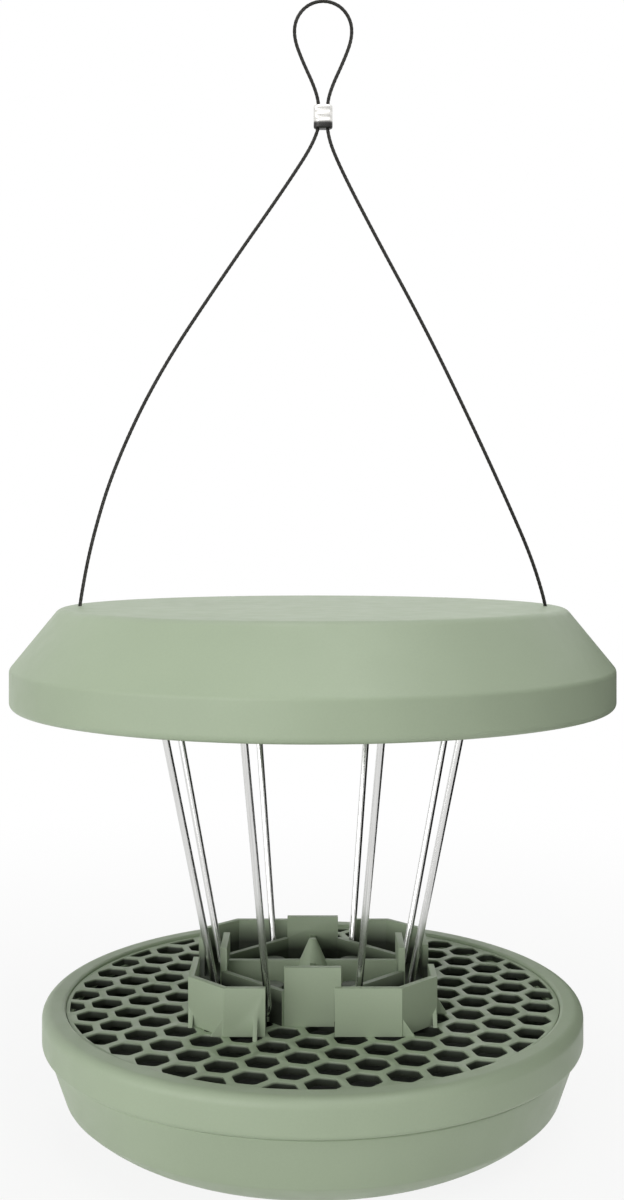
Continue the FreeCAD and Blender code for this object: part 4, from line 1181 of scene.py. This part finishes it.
class FEEDER_OT_wires(Operator):
    """The four bent cage wires, one at each corner of the hub"""

    bl_idname = "feeder.wires"
    bl_label = "Cage wires"
    RING_SPACING = 2.5 * MM
    END_RINGS = 6
    SIDES = 28

    def execute(self, context):
        wires = context.scene.feeder_wires
        path = self.bent_path(wires)
        row_length = distances_along(path)[-1] / len(path)
        column_length = TURN * wires.diameter / 2 / self.SIDES
        for number, corner in enumerate(("front_right", "rear_right", "rear_left", "front_left")):
            grid = self.bar(path, wires, (number + 0.5) * QUARTER)
            mesh = mesh_of_grids(f"{corner}_bar", grid[None], False, True, row_length, column_length)
            piece = new_piece(f"{corner}_bar", mesh, wire_steel())
            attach(piece, "cage")
            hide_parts(f"{corner}_wire")
        return {"FINISHED"}

    def bent_path(self, wires):
        """The wire's centre line in its own flat plane: tab, leg, foot, leg and tab, with rounded bends."""
        rise = wires.top_height - wires.foot_height
        spread = wires.top_reach - wires.foot_reach
        slant = math.hypot(rise, spread)
        top, foot, tab = wires.top_half, wires.foot_half, wires.tab
        corners = [(tab - top, slant), (-top, slant), (-foot, 0), (foot, 0), (top, slant), (top - tab, slant)]
        radii = [0, wires.top_bend, wires.foot_bend, wires.foot_bend, wires.top_bend, 0]
        line = rounded_outline(corners, radii, closed=False, steps=17)
        along = distances_along(line)
        even = np.unique(np.concatenate([along, np.arange(0, along[-1], self.RING_SPACING)]))
        return points_along(line, even)

    def bar(self, path, wires, around):
        """A round bar along the path, rounded at its cut ends, leaned outwards and turned to its corner.

        The plane's point (u, v) goes to (u, -reach - v sin lean, foot + v cos lean), then round the Z axis.
        """
        radius = wires.diameter / 2
        edge = wires.end_round
        bend = np.linspace(0, QUARTER, self.END_RINGS)
        end_step = np.concatenate([[0], edge * (1 - np.cos(bend))])
        end_radius = np.concatenate([[0], radius - edge * (1 - np.sin(bend))])
        forward = directions(path)
        first = path[0] + end_step[:, None] * forward[0]
        last = path[-1] - end_step[::-1, None] * forward[-1]
        inside = slice(1, -1)
        line = np.concatenate([first, path[inside], last])
        thickness = np.concatenate([end_radius, np.full(len(path) - 2, radius), end_radius[::-1]])
        ends = [np.repeat(way[None], len(end_step), axis=0) for way in (forward[0], forward[-1])]
        heading = np.concatenate([ends[0], forward[inside], ends[1]])
        lean = math.atan2(wires.top_reach - wires.foot_reach, wires.top_height - wires.foot_height)
        sideways = np.array([math.cos(around), math.sin(around), 0])
        outwards = np.array([math.sin(around), -math.cos(around), 0])
        upward = outwards * math.sin(lean) + np.array([0, 0, math.cos(lean)])
        facing = outwards * math.cos(lean) - np.array([0, 0, math.sin(lean)])
        start = outwards * wires.foot_reach + np.array([0, 0, wires.foot_height])
        centre = start + line[:, :1] * sideways + line[:, 1:] * upward
        across = -heading[:, 1:] * sideways + heading[:, :1] * upward
        return tube_grid(centre, across, np.broadcast_to(facing, across.shape), thickness, self.SIDES)


class FEEDER_OT_screws(Operator):
    """The pan-head screws under the grid and under the carrier"""

    bl_idname = "feeder.screws"
    bl_label = "Screws"
    HEAD = 2.8 * MM
    HEAD_HEIGHT = 2.0 * MM
    DOME = 0.75 * MM
    DOME_START = 0.15
    FLAT_SHARE = 0.8
    SHANK = 1.38 * MM
    PITCH = 1.0 * MM
    THREAD = 0.22 * MM
    THREAD_START = 0.2 * MM
    THREAD_END = 0.9 * MM
    TIP = 0.8 * MM
    TIP_SHARE = 0.4
    SLOT_HALF = 0.42 * MM
    SLOT_REACH = 1.75 * MM
    SLOT_SOFT = 0.1 * MM
    SLOT_DEPTH = 1.0 * MM
    SLOT_FACE = 0.3 * MM
    FACE_RINGS, DOME_RINGS, SHANK_RINGS = 18, 8, 60
    SEGMENTS = 64
    UV_LENGTHS = (0.2 * MM, 0.1 * MM)

    def execute(self, context):
        for node, name, body in (
            ("hub_screws", "hub_pan_screws", "tray"),
            ("carrier_screws", "carrier_pan_screws", "cage"),
        ):
            low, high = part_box(node)
            grid, recess = self.screw(high.z - low.z)
            places = four_corners(high.x - self.HEAD)
            moves = np.array([(x, y, low.z) for x, y in places])
            grids = grid[None] + moves[:, None, None]
            # The recess marks carry the painted shade in the cross recess.
            marks = np.broadcast_to(recess, (len(places), *recess.shape))
            mesh = mesh_of_grids(name, grids, True, False, *self.UV_LENGTHS, {"recess": marks})
            piece = new_piece(name, mesh, screw_steel())
            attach(piece, body)
            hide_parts(node)
        return {"FINISHED"}

    def screw(self, tall):
        """One screw with its head down: an outline of radius and height turned round Z.

        The head's face is pushed in by a cross, a product of smooth steps in the distance from the two middle
        lines. The shank's radius swells along a helix, where height / pitch minus the angle's share of a turn
        is a whole number.
        """
        head, shank, flat = self.HEAD, self.SHANK, self.FLAT_SHARE
        face = np.linspace(0, flat, self.FACE_RINGS)
        curve = np.linspace(self.DOME_START, QUARTER, self.DOME_RINGS)
        dome_r = np.concatenate([face * head, head * (flat + (1 - flat) * np.sin(curve))])
        dome_z = np.concatenate([0 * face, self.DOME * (1 - np.cos(curve))])
        shank_z = np.linspace(self.HEAD_HEIGHT, tall - self.TIP, self.SHANK_RINGS)
        shank_r = np.full(self.SHANK_RINGS, shank)
        radius = np.concatenate([dome_r, [head], [shank], shank_r, [self.TIP_SHARE * shank, 0]])
        height = np.concatenate([dome_z, [self.HEAD_HEIGHT], [self.HEAD_HEIGHT], shank_z, [tall, tall]])
        angle = np.linspace(0, TURN, self.SEGMENTS, endpoint=False)[:, None]
        grid = turned_grid(np.stack([radius, height], axis=1), self.SEGMENTS)
        thread_low, thread_high = self.HEAD_HEIGHT + self.THREAD_START, tall - self.THREAD_END
        on_shank = ((height > thread_low) & (height < thread_high))[None]
        wave = 0.5 + 0.5 * np.cos(TURN * (height[None] / self.PITCH) - angle)
        slim = 1 - on_shank * self.THREAD * (1 - wave**3) / shank
        grid[..., :2] *= slim[..., None]
        across, along = np.abs(grid[..., 0]), np.abs(grid[..., 1])
        cross = np.maximum(self.slot(across, along), self.slot(along, across))
        # The cross mark also gives the painted shade in the recess.
        recess = cross * (height < self.SLOT_FACE)[None]
        grid[..., 2] += recess * self.SLOT_DEPTH
        return grid, recess

    def slot(self, across, along):
        """One arm of the cross: near one inside its half width and reach, and falling softly to nothing."""
        inside_width = 1 / (1 + np.exp((across - self.SLOT_HALF) / self.SLOT_SOFT))
        return inside_width / (1 + np.exp((along - self.SLOT_REACH) / self.SLOT_SOFT))


class FEEDER_PT_builder(Panel):
    """Lists the feeder's settings and the operators that build its pieces"""

    bl_idname = "FEEDER_PT_builder"
    bl_label = "Fat ball feeder"
    bl_space_type = "VIEW_3D"
    bl_region_type = "UI"
    bl_category = "Feeder"

    def draw(self, context):
        for operator in OPERATORS:
            self.layout.operator(operator.bl_idname)
        for holder, group in SETTINGS.items():
            box = self.layout.box()
            box.label(text=group.__doc__)
            for name in group.__annotations__:
                box.prop(getattr(context.scene, holder), name)


SETTINGS = {
    "feeder_roof": FeederRoofSettings,
    "feeder_tray": FeederTraySettings,
    "feeder_wires": FeederWireSettings,
    "feeder_hanger": FeederHangerSettings,
    "feeder_edges": FeederEdgeSettings,
    "feeder_finish": FeederFinishSettings,
    "feeder_stage": FeederStageSettings,
}
OPERATORS = (
    FEEDER_OT_stage,
    FEEDER_OT_crimps,
    FEEDER_OT_cable,
    FEEDER_OT_roof,
    FEEDER_OT_tray,
    FEEDER_OT_grid,
    FEEDER_OT_hub,
    FEEDER_OT_carrier,
    FEEDER_OT_wires,
    FEEDER_OT_screws,
)


def register():
    """Registers the settings, operators and panel."""
    for holder, group in SETTINGS.items():
        bpy.utils.register_class(group)
        setattr(bpy.types.Scene, holder, PointerProperty(type=group))
    for item in (*OPERATORS, FEEDER_PT_builder):
        bpy.utils.register_class(item)


def unregister():
    """Takes them out again."""
    for item in (FEEDER_PT_builder, *reversed(OPERATORS)):
        bpy.utils.unregister_class(item)
    for holder, group in SETTINGS.items():
        delattr(bpy.types.Scene, holder)
        bpy.utils.unregister_class(group)


def main():
    """Registers the add-on and builds every piece in order."""
    register()
    bpy.ops.feeder.stage()
    bpy.ops.feeder.crimps()
    bpy.ops.feeder.cable()
    bpy.ops.feeder.roof()
    bpy.ops.feeder.tray()
    bpy.ops.feeder.grid()
    bpy.ops.feeder.hub()
    bpy.ops.feeder.carrier()
    bpy.ops.feeder.wires()
    bpy.ops.feeder.screws()


if __name__ == "__main__":
    main()
